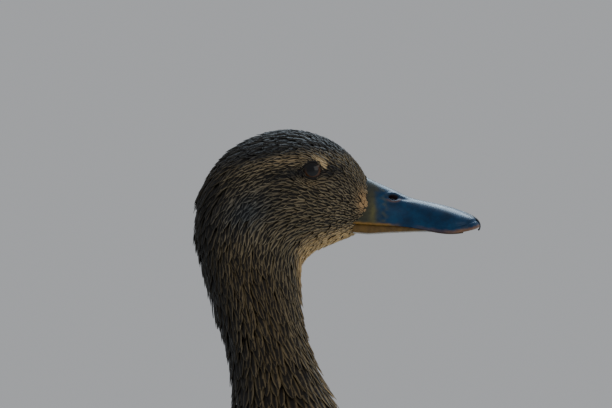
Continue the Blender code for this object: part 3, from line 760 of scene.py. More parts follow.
def scatter(form, t_range, turn_range, spacing, seed):
    """Places spread over part of a form, each at least spacing(points, t) from the others."""
    rng = np.random.default_rng(seed)
    t_cells, turn_cells = np.linspace(*t_range, 60), np.linspace(*turn_range, 48)
    t_size, turn_size = t_cells[1] - t_cells[0], turn_cells[1] - turn_cells[0]
    t_mid, turn_mid = pairs(t_cells[:-1] + t_size / 2, turn_cells[:-1] + turn_size / 2)
    along, around = form.slopes(t_mid, turn_mid)
    areas = np.linalg.norm(np.cross(along, around), axis=1) * t_size * turn_size
    wanted = areas / spacing(form.point(t_mid, turn_mid), t_mid) ** 2 * TRIES
    picked = rng.choice(len(areas), int(wanted.sum()), p=wanted / wanted.sum())
    t = t_mid[picked] + rng.uniform(-0.5, 0.5, len(picked)) * t_size
    turn = turn_mid[picked] + rng.uniform(-0.5, 0.5, len(picked)) * turn_size
    points = form.point(t, turn)
    apart = spacing(points, t)
    cells = np.floor(points / apart.max()).astype(int)
    steps = [(i, j, k) for i in (-1, 0, 1) for j in (-1, 0, 1) for k in (-1, 0, 1)]
    taken, chosen = {}, []
    for i, (cell, place, limit) in enumerate(zip(map(tuple, cells), points.tolist(), (apart**2).tolist())):
        x, y, z = place
        clear = all(
            (x - p[0]) ** 2 + (y - p[1]) ** 2 + (z - p[2]) ** 2 >= limit
            for step in steps
            for p in taken.get((cell[0] + step[0], cell[1] + step[1], cell[2] + step[2]), ())
        )
        if clear:
            taken.setdefault(cell, []).append(place)
            chosen.append(i)
    return t[chosen], turn[chosen]


# Outlines of a vane: places along it, and its width there as a share of the full one.
POINTED = np.array([
    (0.0, 0.5), (0.22, 0.9), (0.45, 1.0), (0.65, 0.92), (0.82, 0.68), (0.94, 0.36), (1.0, 0.10),
])
ROUNDED = np.array([
    (0.0, 0.35), (0.22, 0.8), (0.5, 1.0), (0.72, 0.98), (0.88, 0.78), (0.96, 0.5), (1.0, 0.16),
])
# The columns of points across a vane, from edge to edge.
NARROW_VANE, WIDE_VANE = np.linspace(-1, 1, 3), np.linspace(-1, 1, 5)


def lay(name, form, t, turn, length, width, root, tip, outline, material, seed, vane_columns, thickness, rise,
        lean=0.0, camber=0.25, shaft=0.0, lopsided=0.0, roll=0.0, colours=None, ends=None, tone=0.12,
        own_cells=False, ragged=0.06):
    """Lays one feather at each place on a form, as one joined mesh. root and tip are how far the feather's
    ends lie outside the form, and rise how early it lifts off. lean turns it from the form's own way, or
    ends gives its tip's (t, turn). camber hollows it, shaft is the height of its shaft, lopsided moves the
    shaft towards the bird's back, and roll tucks that edge under. colours are as markings gives them, tone
    and ragged are how uneven the colours and the edges are, and own_cells gives each feather a cell of its
    own on the map."""
    rng = np.random.default_rng(seed)
    count, rows, columns = len(t), len(outline), len(vane_columns)
    along, around = form.slopes(t, turn)
    out = form.normal(t, turn)
    back = unit(along - out * (along * out).sum(1, keepdims=True))
    side = np.cross(out, back)
    if ends is not None:
        towards = form.point(*ends) - form.point(t, turn)
        length = np.linalg.norm(towards, axis=1)
        lean = np.arctan2((towards * side).sum(1), (towards * back).sum(1))
    turned = np.broadcast_to(lean, count)[:, None]
    directions = (
        np.cos(turned) * back + np.sin(turned) * side,
        np.cos(turned) * side - np.sin(turned) * back,
    )
    along2, mixed, around2 = (along**2).sum(1), (along * around).sum(1), (around**2).sum(1)
    steps = []
    for direction in directions:
        on_along, on_around = (direction * along).sum(1), (direction * around).sum(1)
        per_t, per_turn = on_along * around2 - on_around * mixed, on_around * along2 - on_along * mixed
        area2 = along2 * around2 - mixed * mixed
        steps.append([(v / area2)[:, None, None] for v in (per_t, per_turn)])
    upwards = np.where((turn + 1) % 2 > 1, 1, -1)  # which way across the feather the bird's back is
    length, width, root, tip, lopsided, roll = (
        np.broadcast_to(v, count)[:, None, None]
        for v in (length, width, root, tip, lopsided * upwards, roll * upwards)
    )
    if ends is not None:
        steps[0] = [(ends[0] - t)[:, None, None] / length, (ends[1] - turn)[:, None, None] / length]
    on_vane, across = outline[:, 0][None, :, None], vane_columns[None, None, :]
    half = outline[:, 1][None, :, None] * width / 2 * (1 + ragged * rng.normal(size=(count, rows, 1)))
    onward = length * on_vane + 0 * across
    sideways = half * (across + lopsided * (1 - across**2))
    place_t = t[:, None, None] + onward * steps[0][0] + sideways * steps[1][0]
    place_turn = turn[:, None, None] + onward * steps[0][1] + sideways * steps[1][1]
    ridge = shaft * np.exp(-((across / 0.12) ** 2)) * (1 - on_vane)
    offset = root + (tip - root) * on_vane**rise - camber * half * across**2 - roll * half * across + ridge
    outwards = form.normal(place_t, place_turn)
    points = (form.point(place_t, place_turn) + outwards * offset[..., None]).reshape(count, -1, 3)
    vane = np.stack([(across + 1) / 2 + 0 * on_vane, on_vane + 0 * across], -1).reshape(-1, 2)
    i, j = pairs(np.arange(rows - 1), np.arange(columns - 1))
    corner = i * columns + j
    quads = np.stack([corner, corner + columns, corner + columns + 1, corner + 1], -1)
    front = len(vane)
    under = outwards * -thickness * (1 - 0.5 * on_vane[..., None] ** 2)
    points = np.concatenate([points, points + under.reshape(count, -1, 3)], 1)
    rim = [(0, k) for k in range(columns)] + [(k, columns - 1) for k in range(1, rows)]
    rim += [(rows - 1, k) for k in range(columns - 2, -1, -1)] + [(k, 0) for k in range(rows - 2, 0, -1)]
    rim = np.array([r * columns + k for r, k in rim])
    ahead = np.roll(rim, -1)
    edges = np.stack([rim, ahead, ahead + front, rim + front], -1)
    quads = np.concatenate([quads, quads[:, ::-1] + front, edges])
    vane = np.concatenate([vane, vane])
    faces = (quads[None] + (np.arange(count) * len(vane))[:, None, None]).reshape(-1, 4)
    made = mesh_object(name, points.reshape(-1, 3), faces)
    if own_cells:
        set_uv(made.data, "OFBake", cell_patches(count, vane, front))
    else:
        set_uv(made.data, "OFBake", root_patches(t, turn, vane))
    set_uv(made.data, "vane", np.tile(vane, (count, 1)))
    middle_t, middle_turn = (v + 0.5 * np.ravel(length * step) for v, step in zip((t, turn), steps[0]))
    dark, pale, marks = colours or markings(form.point(middle_t, middle_turn), middle_t, middle_turn)
    tones = rng.normal(1, tone, (count, 1)).clip(0.5, 1.5)
    marks = marks + rng.normal(0, 0.5 * tone, (count, 1)) * (marks[:, :1] > 0.2) * (1, 0, 0)
    marks = marks * np.stack([np.ones(count), np.ones(count), rng.uniform(0.2, 1.2, count)], 1)
    for label, values in (("dark", dark * tones), ("pale", pale * tones), ("marks", marks)):
        set_colour(made.data, label, np.repeat(values, len(vane), axis=0))
    made.data.materials.append(material)
    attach(made, "root")
    return made


PATCH = 0.003  # the size on the map of one small feather


def root_patches(t, turn, vane):
    """Each feather's own patch of the map, at its root's place on the unwrapped form."""
    along = (t - t.min()) / max(np.ptp(t), 1e-6)
    roots = np.stack([0.01 + 0.98 * along, 0.01 + 0.98 * ((turn + 1) % 2) / 2], 1)
    return (roots[:, None] + (vane[None] - 0.5) * PATCH).reshape(-1, 2)


def cell_patches(count, vane, front):
    """A cell of the map for each of a few large feathers, with its two faces side by side."""
    cells = math.ceil(math.sqrt(count))
    k = np.arange(count)
    face = np.where(np.arange(len(vane)) < front, 0.0, 0.5)
    inside = np.stack([0.02 + 0.46 * vane[:, 0] + face, 0.02 + 0.96 * vane[:, 1]], 1)
    return ((np.stack([k % cells, k // cells], 1)[:, None] + inside[None]) / cells).reshape(-1, 2)


def vary(values, rng, amount):
    """The values, each made larger or smaller by up to a share."""
    return values * rng.uniform(1 - amount, 1 + amount, len(values))


BARE_LID = 1.09  # the feathers start this far out, as a share of the opening


def part_round_eye(points, out):
    """How much to turn the feathers near an eye, so that they part in front of it and close behind it."""
    place = (-(points[:, 0] - EYE.x) + 1j * (points[:, 2] - EYE.z)) / OPENING
    place = np.where(np.abs(place) < BARE_LID, BARE_LID * place / np.maximum(np.abs(place), 1e-6), place)
    flow = np.conj(1 - (BARE_LID / place) ** 2)
    return np.angle(flow) * np.sign(out[:, 1]) * (1 - smooth_step(np.abs(place), 2.6, 4.2))


head_feathers = feather_material("head_feathers", 13.0, 0.4, 0.5, softness=0.32)
body_feathers = feather_material("body_feathers", 26.0, 0.5)
# Where the feathers begin over the bill, as x and z in mm, from the chin up to the bill's ridge.
FACE_EDGE = np.array([
    (138.8, 322.0), (139.4, 327.8), (141.0, 329.0), (143.2, 330.4),
    (143.7, 333.0), (143.2, 338.0), (143.4, 346.0),
])
GAPE = (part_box("head")[1].x - 4.2 * MM, EYE.z - 22.6 * MM)  # the corner of the mouth, x and z


def bare_places(points):
    """Where no feather is rooted: on the bill, within the lids and at the corner of the mouth."""
    beyond = (points[:, 0] - GAPE[0]) / (3.0 * MM)
    notch = np.abs(points[:, 2] - GAPE[1]) < 1.5 * MM * np.sqrt(np.clip(beyond, 0, 1))
    face_edge = np.interp(points[:, 2] / MM, FACE_EDGE[:, 1], FACE_EDGE[:, 0]) * MM
    on_bill = (points[:, 0] > face_edge) & (points[:, 2] / MM > FACE_EDGE[0, 1])
    return (eye_offset(points) < BARE_LID * OPENING) | notch | on_bill


TUFT_HEIGHTS = (342, 326, 296, 255)  # where feathers down the back of the neck part and stand out, in mm
SHORTEST, LOWEST_TIP = 0.9 * MM, 0.3 * MM  # at the lids


def near_eye(points):
    """The feathers' size and spacing close to an eye, as a share of what they are further off."""
    return 0.48 + 0.52 * smooth_step(eye_offset(points) / OPENING, BARE_LID, 2.3)


def root_spacing(points, t):
    """How far apart the feathers' roots are."""
    return size_at(t)[2] * near_eye(points)


def coat(name, start, end, turn_range, seed, bare=bare_places, outline=POINTED, material=head_feathers,
         vane_columns=NARROW_VANE, thickness=0.10 * MM):
    """A tract of contour feathers between two places along the bird, less its bare places."""
    t, turn = scatter(bird, (start, end), turn_range, root_spacing, seed)
    points = bird.point(t, turn)
    grows = ~bare(points)
    t, turn, points = t[grows], turn[grows], points[grows]
    rng = np.random.default_rng(seed + 500)
    length, width, _ = size_at(t)
    length, width = vary(length, rng, 0.2) * near_eye(points), vary(width, rng, 0.15) * near_eye(points)
    x, z = (points[:, 0] - EYE.x) / MM, (points[:, 2] - EYE.z) / MM
    out = bird.normal(t, turn)
    cheek = np.exp(-(((x + 5) / 17) ** 2) - ((z + 15) / 10) ** 2)  # where they lie level
    lean = rng.normal(0, 0.11, len(t)) + part_round_eye(points, out) + 0.36 * cheek * np.sign(out[:, 1])
    from_eye = eye_offset(points) / OPENING
    ahead = np.clip((points[:, 0] - EYE.x) / OPENING / from_eye, 0, 1)
    room = (from_eye - BARE_LID + 0.05) * OPENING / np.maximum(ahead, 0.05) ** 2
    length = np.minimum(length, np.maximum(room, SHORTEST))
    depth, lift = along_bird(DEPTHS, t), along_bird(LIFTS, t)
    clear = smooth_step(from_eye, BARE_LID, 2.4)
    tips = (LOWEST_TIP + (lift - LOWEST_TIP) * clear) - depth * rng.uniform(0.0, 0.25, len(t))
    tips += rng.exponential(0.11 * MM, len(t)) * clear * smooth_step(t, T["crown"], T["nape"])
    behind = 1 - smooth_step(np.abs(((turn + 1) % 2) - 1), 0.08, 0.26)
    behind *= smooth_step(t, T["hind_crown"], T["occiput"])
    tufts = behind * sum(np.exp(-(((points[:, 2] / MM - height) / 3.0) ** 2)) for height in TUFT_HEIGHTS)
    tips += 1.6 * MM * tufts * rng.uniform(0.0, 1.0, len(t))
    length = length * (1 + 0.3 * tufts)
    return lay(name, bird, t, turn, length, width, -depth * 0.9, tips, outline, material, seed, vane_columns,
               thickness, 0.4, lean=lean)


HEAD_END, FACE_END = T["nape"], T["eye"] + 9 * MM
coat("coat_face", -2.6 * MM, FACE_END, (-1, 1), 11)
coat("coat_crown", FACE_END, HEAD_END, (-0.34, 0.34), 12)
coat("coat_cheek_left", FACE_END, HEAD_END, (0.34, 1.0), 13)
coat("coat_cheek_right", FACE_END, HEAD_END, (-1.0, -0.34), 14)
coat("coat_neck_upper", HEAD_END, T["neck_mid"], (-1, 1), 15)
coat("coat_neck_lower", T["neck_mid"], T["shoulder"] - 4 * MM, (-1, 1), 16)


def under_wing(points):
    """The part of each side that a wing and the shoulder feathers hide, where no body feather is rooted."""
    x, z = points[:, 0] / MM, points[:, 2] / MM
    lower = np.interp(x, (-100, -50, 0, 50, 95), (146, 134, 122, 122, 134))
    upper = np.interp(x, (-100, -50, 0, 50, 95), (156, 168, 180, 190, 176))
    return (x < 92) & (x > -88) & (z > lower) & (z < upper)


def under_tail_feathers(points):
    """The same, and the sides of the rump's end, which the tail's own feathers hide."""
    return under_wing(points) | ((points[:, 0] < -124 * MM) & (points[:, 2] > 146 * MM))


ON_BODY = (ROUNDED, body_feathers, WIDE_VANE, 0.2 * MM)
coat("coat_breast", T["shoulder"] - 4 * MM, T["keel"], (-1, 1), 17, under_wing, *ON_BODY)
coat("coat_trunk", T["keel"], T["vent"], (-1, 1), 18, under_wing, *ON_BODY)
coat("coat_rump", T["vent"], T["tail_fan"] - 6 * MM, (-1, 1), 19, under_tail_feathers, *ON_BODY)


# ---- Eyes ----------------------------------------------------------------------------------------------
# Each eyeball sits deep in its socket under the lids' rim: a dark brown iris round a large pupil, behind a
# clear wet cornea that stands a little forward.
EYE_ROWS, EYE_COLUMNS = 40, 64
PUPIL, IRIS = 2.45 * MM, 3.7 * MM
CORNEA_RISE = 0.30 * MM

eyeball, shader, wires = new_material(
    "eyeball", 0.3, 0.05, Coat_Weight=0.9, Coat_Roughness=0.02, Coat_IOR=1.38
)
iris_map = wires.put("ShaderNodeUVMap", uv_map="iris").outputs[0]
place = wires.put("ShaderNodeSeparateXYZ", {0: iris_map}).outputs
squares = [wires.math("POWER", place[k], 2.0) for k in (0, 1)]
radial = wires.math("SQRT", wires.math("ADD", *squares))
angle = wires.math("ARCTAN2", place[1], place[0])
spokes = wires.put("ShaderNodeCombineXYZ", {0: angle, 1: wires.math("MULTIPLY", radial, 0.6)})
fibres = wires.noise(7.0, 3.0, spokes.outputs[0])
iris = wires.mix(fibres, (*colour(38, 22, 12), 1), (*colour(88, 54, 26), 1))
iris = wires.mix(wires.between(radial, 0.80, 1.02), iris, (*colour(20, 13, 10), 1))
# Painted shade: the iris is darker at its top, as if the upper lid shaded it.
painted_lid_shade = wires.between(wires.math("MULTIPLY_ADD", place[0], -0.4, place[1]), -0.3, 0.7)
iris = wires.mix(painted_lid_shade, iris, (*colour(14, 9, 7), 1))
pupil_edge = wires.between(radial, PUPIL / IRIS - 0.03, PUPIL / IRIS + 0.05)
wires.feed(wires.mix(pupil_edge, (0.002, 0.002, 0.003, 1), iris), shader, "Base Color")

for word, side in (("left", 1), ("right", -1)):
    rings = []
    for i in range(EYE_ROWS + 1):  # from the middle of the cornea to the back
        angle = math.pi * min(max(i, 0.25), EYE_ROWS - 0.25) / EYE_ROWS
        off_axis = EYE_RADIUS * math.sin(angle)
        rise = CORNEA_RISE * (1 - smooth_step(off_axis, 1.2 * MM, 3.4 * MM)) * (angle < math.pi / 2)
        turns = [side * 2 * math.pi * j / EYE_COLUMNS for j in range(EYE_COLUMNS)]
        y = side * (EYE.y + EYE_RADIUS * math.cos(angle) + float(rise))
        rings.append([(EYE.x + off_axis * math.cos(a), y, EYE.z + off_axis * math.sin(a)) for a in turns])
    made = tube_object(f"eyeball_{word}", rings)
    points = vertices_of(made)
    face = points[:, [0, 2]] - (EYE.x, EYE.z)
    behind = (np.abs(points[:, 1]) < EYE.y)[:, None]
    set_uv(made.data, "iris", face / IRIS * (1 + 2.0 * behind))
    set_uv(made.data, "OFBake", face / EYE_RADIUS * 0.24 + (0.25, 0.5) + behind * (0.5, 0))
    made.data.materials.append(eyeball)
    made.data.shade_smooth()
    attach(made, "root")
    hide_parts(f"eye_{word}")


# ---- Bill ----------------------------------------------------------------------------------------------
# A hollow upper bill of soft horn, narrow behind and spread like a spoon in front, with a rolled lip, a
# nostril high on each side, and a hard nail hooked over its tip. The lower bill closes into it from below.

# x, height of the ridge, height of the lip, and half width, in mm. Past the widest place it rounds off.
BILL = np.array([
    (137.6, 348.2, 326.7, 8.9), (142.6, 346.0, 326.4, 9.2), (148.2, 343.3, 326.0, 9.2),
    (153.9, 340.7, 325.7, 8.9), (160.5, 337.6, 325.1, 8.8), (167.0, 336.0, 323.9, 9.5),
    (174.6, 334.3, 322.7, 10.9), (178.6, 333.2, 322.7, 11.2), (182.5, 331.8, 323.2, 11.2),
    (185.8, 330.3, 323.9, 11.2), (188.4, 328.4, 324.7, 11.2), (189.5, 326.9, 325.2, 11.2),
])
WIDEST_X, BILL_TIP_X = 178.0, 189.5
BILL_TILT = -0.12  # of the nostril and its groove
NOSTRIL = ((153.5, 337.7), 2.35, 1.35, BILL_TILT)  # its middle, half length and half height
GROOVE = ((157.6, 337.0), 3.6, 0.75, BILL_TILT)
VAULT, LIP = 2.6, 1.1  # how high the roof of the mouth rises over the lips, and how thick a lip is


def bill_measures(x):
    """Ridge height, lip height and half width, in mm."""
    ridge, lip, half = spline(BILL[:, 0], BILL[:, 1:], x).T
    rounding = np.clip((x - WIDEST_X) / (BILL_TIP_X - WIDEST_X), 0, 0.999) ** 2.6
    return ridge, lip, half * np.sqrt(1 - rounding)


def bill_point(x, around):
    """Places on the bill's outside, in mm: around is 0 on the ridge and 1 or -1 on the lips."""
    ridge, lip, half = bill_measures(x)
    power = 1 - 0.3 * np.clip((x - BILL[1, 0]) / 30, 0, 1)
    up, out = np.cos(around * math.pi / 2), np.sin(around * math.pi / 2)
    lean = slant(x, lip) * (1 - up)
    return np.stack([x + lean, out * half, lip + (ridge - lip) * np.maximum(up, 0) ** power], -1)


def outwards_share(x):
    """How far along the bill x is: 0 at the face, 1 at the tip."""
    return np.clip((x - BILL[1, 0]) / 47, 0, 1)


def slant(x, lip):
    """How far the face's slant moves the lip from the ridge over it, most at the face."""
    return 0.1 * (lip - BILL[1, 1]) * (1 - outwards_share(x)) ** 3


def oval(points, centre, half_length, half_height, tilt):
    """How far points lie from the middle of a tilted oval, as a share of its half width that way."""
    c, s = math.cos(tilt), math.sin(tilt)
    x, z = points[..., 0] - centre[0], points[..., 2] - centre[1]
    return np.sqrt(((x * c + z * s) / half_length) ** 2 + ((z * c - x * s) / half_height) ** 2)


tip_turns = np.linspace(0, math.pi / 2, 34)[1:]
tip_x = WIDEST_X + (BILL_TIP_X - WIDEST_X) * np.sin(tip_turns)
bill_x = np.concatenate([np.arange(137.6, WIDEST_X, 0.4), tip_x])
OUTSIDE = 113  # points across the bill's outside
around = np.concatenate([np.linspace(-1, 1, OUTSIDE), np.linspace(1, -1, 33)[1:-1]])
upper = bill_point(*pairs(bill_x, around)).reshape(len(bill_x), len(around), 3)
outer = upper[:, :OUTSIDE]
normals = unit(np.cross(np.gradient(outer, axis=0), np.gradient(outer, axis=1)))
normals[..., 0] = np.clip(normals[..., 0], -0.9, 0.9)
nostril, groove = oval(outer, *NOSTRIL), oval(outer, *GROOVE)
above_lip = outer[..., 2] - bill_measures(bill_x)[1][:, None]
front = smooth_step(outer[..., 0], 158, 174)
crease_height = 2.4 + 1.0 * smooth_step(outer[..., 0], 172, 188)
crease = np.exp(-(((above_lip - crease_height) / 0.55) ** 2)) * front
lip_roll = np.exp(-(((above_lip - 0.9) / 0.8) ** 2)) * smooth_step(outer[..., 0], 143, 150)
saddle = np.exp(-((outer[..., 1] / 3.2) ** 2)) * (1 - smooth_step(outer[..., 0], 146, 156))
rise = -1.9 * (1 - smooth_step(nostril, 0.45, 1.0)) + 0.16 * np.exp(-(((nostril - 1.32) / 0.25) ** 2))
rise += -0.35 * np.exp(-(groove**2)) * (nostril > 1) - 0.28 * crease + 0.22 * lip_roll - 0.15 * saddle
upper[:, :OUTSIDE] += normals * (rise * smooth_step(outer[..., 0], 139, 142))[..., None]
x = bill_x[:, None]
_, lip_height, half = (values[:, None] for values in bill_measures(bill_x))
inside_at = around[None, OUTSIDE:]
upper[:, OUTSIDE:, 0] = x + slant(x, lip_height)
upper[:, OUTSIDE:, 1] = inside_at * np.maximum(half - LIP, 0.3 * half)
upper[:, OUTSIDE:, 2] = lip_height + VAULT * (1 - outwards_share(x) ** 3) * np.sqrt(1 - inside_at**2)
bill = tube_object("upper_bill", upper * MM)


def bill_colours(points):
    """The tints at points in mm: slate blue, partly the horn's own dusky slate and partly a painted
    reflection of blue sky, with an olive band at the face and an orange lip.
    """
    x, z = points[:, 0], points[:, 2]
    ridge, lip, _ = bill_measures(np.clip(x, 138, 189))
    patch, fine = ripple(points * MM, 7 * MM, 21), ripple(points * MM, 2.2 * MM, 22)
    # The slate blue is partly the horn's own colour and partly a painted reflection of blue sky.
    tints = np.tile(colour(9, 48, 80), (len(x), 1))

    def over(mask, tint):
        """Lays a tint over the others, by the mask."""
        tints[:] += (np.asarray(tint) - tints) * np.clip(mask, 0, 1)[:, None]

    over(0.45 * smooth_step(patch, 0.0, 0.8), colour(22, 66, 98))
    over(0.5 * smooth_step(-patch, 0.2, 0.9), colour(8, 28, 50))
    ridge_line = smooth_step((z - lip) / (ridge - lip), 0.7, 1.0) * (1 - smooth_step(x, 175, 184))
    over(0.4 * ridge_line, colour(26, 46, 64))
    band = 1 - smooth_step(x + 0.7 * fine + 0.8 * patch, 144.4, 148.6)
    band *= 1 - 0.35 * smooth_step(z, 338, 346)
    over(0.85 * band, colour(68, 63, 38))
    over(0.7 * np.exp(-(((x - 145.0) / 1.3) ** 2) - ((z - 331.0) / 5.0) ** 2), colour(106, 100, 58))
    over(0.5 * np.exp(-(((x - 149.5) / 1.6) ** 2)) * smooth_step(fine, -0.3, 0.6), colour(86, 88, 70))
    rim = (1 - smooth_step(z - lip + 0.25 * fine, 0.3, 1.2)) * (1 - smooth_step(x, 150, 158))
    over(rim, colour(140, 104, 46))
    low = (1 - smooth_step(z - lip + 0.35 * fine, 0.5, 1.7)) * smooth_step(x, 160, 168)
    over(0.7 * low, colour(92, 70, 66))
    over(0.5 * low * smooth_step(x, 172, 180), colour(150, 104, 60))
    near = oval(points, *NOSTRIL)
    below = np.exp(-(((near - 1.35) / 0.25) ** 2)) * smooth_step(NOSTRIL[0][1] - z, 0.2, 1.4)
    over(0.6 * below, colour(120, 84, 66))
    inside = 1 - smooth_step(near, 0.7, 1.05)
    over(inside, colour(30, 13, 11))
    return np.concatenate([tints, 1 - inside[:, None]], 1)  # the last is how wet and glossy it is


# Painted reflection: the highlights are tinted blue, as if they reflected sky.
horn, shader, wires = new_material(
    "bill_horn", 0.34, 0.22, Coat_Roughness=0.25, Specular_Tint=(0.6, 0.82, 1.0, 1)
)
fleck = wires.between(wires.noise(620.0, 4.0), 0.42, 0.62)
tint = wires.attribute("tint")
flecked = wires.mix(1.0, tint, (0.35, 0.36, 0.42, 1), "MULTIPLY")
base = wires.mix(wires.math("MULTIPLY", fleck, 0.32), tint, flecked)
wires.feed(base, shader, "Base Color")
roughness = wires.math("MULTIPLY_ADD", wires.noise(300.0, 3.0), 0.25, 0.24)
wires.feed(roughness, shader, "Roughness")
gloss = wires.put("ShaderNodeAttribute", attribute_name="tint").outputs["Alpha"]
wires.feed(wires.math("MULTIPLY", gloss, 0.10), shader, "Coat Weight")
pores = wires.between(wires.noise(2600.0, 1.0), 0.30, 0.42)
relief = wires.math("MULTIPLY_ADD", pores, 0.5, wires.noise(260.0, 4.0))
wires.bump(relief, 0.10, 0.2 * MM, shader)


HORN_SHARE = 0.98  # how much of the map's height goes round a piece of horn


def finish_horn(made, tints, node, shape):
    """Paints and registers a piece of horn, whose points are a grid of that shape."""
    made.data.materials.append(horn)
    set_colour(made.data, "tint", tints)
    along, round_it = grid_shares(*shape)
    set_uv(made.data, "OFBake", np.stack([along, round_it * HORN_SHARE], 1), HORN_SHARE)
    made.data.shade_smooth()
    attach(made, "root")
    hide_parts(node)


finish_horn(bill, bill_colours(upper.reshape(-1, 3)), "bill_upper", upper.shape[:2])

# The lower bill: a shallow trough whose two branches meet near the tip, with a soft groove between them.
FLOOR_X, FLOOR_Z = (138, 145, 152, 163, 172, 178, 183.5), (322.5, 321.9, 322.4, 322.9, 322.9, 323.4, 324.5)
CLEARANCE = 0.45  # between the closed bills
lower_x = np.arange(138.4, 183.2, 0.7)
x = lower_x[:, None]
side = np.linspace(-1, 1, 41)
_, lip_height, half = (values[:, None] for values in bill_measures(lower_x))
half = half - LIP - CLEARANCE - 1.6 * smooth_step(x, 176, 183.2)
vault = VAULT * (1 - outwards_share(x) ** 3) * np.sqrt(1 - (side * half / (half + CLEARANCE)) ** 2)
roof = lip_height + vault - CLEARANCE
branches = 0.9 * np.exp(-((side / 0.42) ** 4)) * (1 - smooth_step(x, 166, 176))
floor_z = np.interp(x, FLOOR_X, FLOOR_Z) + 0.9 * np.abs(side) ** 3 + branches
floor_z = np.minimum(floor_z, roof - 0.4)
x_rows = x + slant(x, lip_height) + 0 * side
top = np.stack([x_rows, side * half, roof], -1)
bottom = np.stack([x_rows, side * half * 0.97, floor_z], -1)[:, ::-1]
lower = np.concatenate([top, bottom], 1)
made = tube_object("lower_bill", lower * MM)
points = lower.reshape(-1, 3)
tints = np.tile(colour(110, 82, 38), (len(points), 1))
fine = ripple(points * MM, 2.5 * MM, 23)
dusk = smooth_step(points[:, 0] + 2 * fine, 160, 172)[:, None]
tints += (colour(92, 74, 56) - tints) * dusk
tints *= (1 - 0.35 * np.clip(fine, 0, 1))[:, None]
finish_horn(made, tints, "bill_lower", lower.shape[:2])

# The nail: a small shield of harder, darker horn that hooks down over the tip.
NAIL = np.array([  # x, z and half width in mm, from its back over the tip
    (181.3, 332.25, 0.7), (183.0, 331.74, 2.3), (185.0, 330.90, 3.2), (186.7, 330.00, 3.4),
    (188.3, 328.95, 3.2), (189.55, 327.4, 2.7), (190.0, 325.8, 1.9), (189.8, 324.4, 1.0),
    (189.2, 323.6, 0.45),
])
along = np.linspace(0, len(NAIL) - 1, 33)
middle = spline(np.arange(len(NAIL)).astype(float), NAIL, along)
heading = unit(np.gradient(middle[:, :2], axis=0))
x, z, half, ahead_x, ahead_z = np.hstack([middle, heading]).T[..., None]
side = np.linspace(-1, 1, 17)
sag = 0.030 * (half * side) ** 2 + 0.16 * np.abs(side) ** 6
layers = []
for depth, turn_by in ((0.0, 1), (0.7, -1)):
    drop = sag + depth * (1 - 0.6 * side**2)
    layer = np.stack([x + ahead_z * drop, half * side, z - ahead_x * drop], -1)
    layers.append(layer[:, ::turn_by])
nail = np.concatenate(layers, 1)
made = tube_object("nail_of_bill", nail * MM)
points = nail.reshape(-1, 3)
tints = colour(34, 36, 42) * (1 + 0.3 * ripple(points * MM, 2 * MM, 24))[:, None]
finish_horn(made, tints, "bill_nail", nail.shape[:2])


# ---- Wings ---------------------------------------------------------------------------------------------
# Each wing is folded against the body: long brown primaries behind, the blue panel of the secondaries between
# its black and white bars, rows of coverts, and the long tertials over them. Shoulder feathers lie over the
# wing's top edge and flank feathers over its lower edge. Each vane is stiff and has its shaft.
t_steps, turn_steps = np.arange(T["neck_foot"], T["tail_tip"], 1.5 * MM), np.linspace(0.02, 0.98, 150)
side_t, side_turn = pairs(t_steps, turn_steps)
from_side = finder(bird.point(side_t, side_turn) * (1, 0, 1))


def locate(places):
    """(t, turn) on the bird's left side for places seen from that side as (x, z) in mm."""
    found = [from_side.find((x * MM, 0, z * MM))[1] for x, z in places]
    return side_t[found], side_turn[found]


def spread(values, count):
    """That many values, evenly spread between the given ones."""
    return np.interp(np.linspace(0, 1, count), np.linspace(0, 1, len(values)), values)


def flat_colours(count, dark, pale, streak, border=1.0, ring=0.0):
    """The same colours and marks, as markings gives them, for every feather."""
    return tuple(np.tile(v, (count, 1)) for v in (dark, pale, (streak, border, ring)))


STIFF = dict(
    vane_columns=np.array([-1, -0.6, -0.2, 0, 0.2, 0.6, 1]), camber=0.10, rise=1.0, shaft=0.3 * MM, roll=0.10,
    tone=0.05, own_cells=True,
)


def wing_row(name, count, roots, tips, width, lift, seed, material, colours, outline, lopsided=0.25, rows=9):
    """A row of stiff feathers on both wings, from the uppermost down, each tucked under the one above. Their
    roots and tips lie along two lines of (x, z) corners, and lift is how far out the two ends are, in mm."""
    lines = [zip(*(spread(values, count) for values in zip(*line))) for line in (roots, tips)]
    (t, turn), (tip_t, tip_turn) = (locate(line) for line in lines)
    order = np.linspace(0.5, -0.5, count) * 0.6 * MM
    t, tip_t, order = (np.tile(v, 2) for v in (t, tip_t, order))
    turn, tip_turn = (np.concatenate([v, -v]) for v in (turn, tip_turn))
    widths = np.tile(spread(width, count), 2) * MM
    shares = np.linspace(0, 1, rows)
    profile = np.stack([shares, np.interp(shares, *zip(*outline))], 1)
    profile = np.concatenate([profile[:-1], [(0.975, np.interp(0.955, *zip(*outline)))], profile[-1:]])
    root, tip = (height * MM + order for height in lift)
    return lay(name, bird, t, turn, 1.0, widths, root, tip, profile, material, seed, thickness=0.35 * MM,
               lopsided=lopsided, colours=flat_colours(2 * count, *colours), ends=(tip_t, tip_turn),
               ragged=0.015, **STIFF)


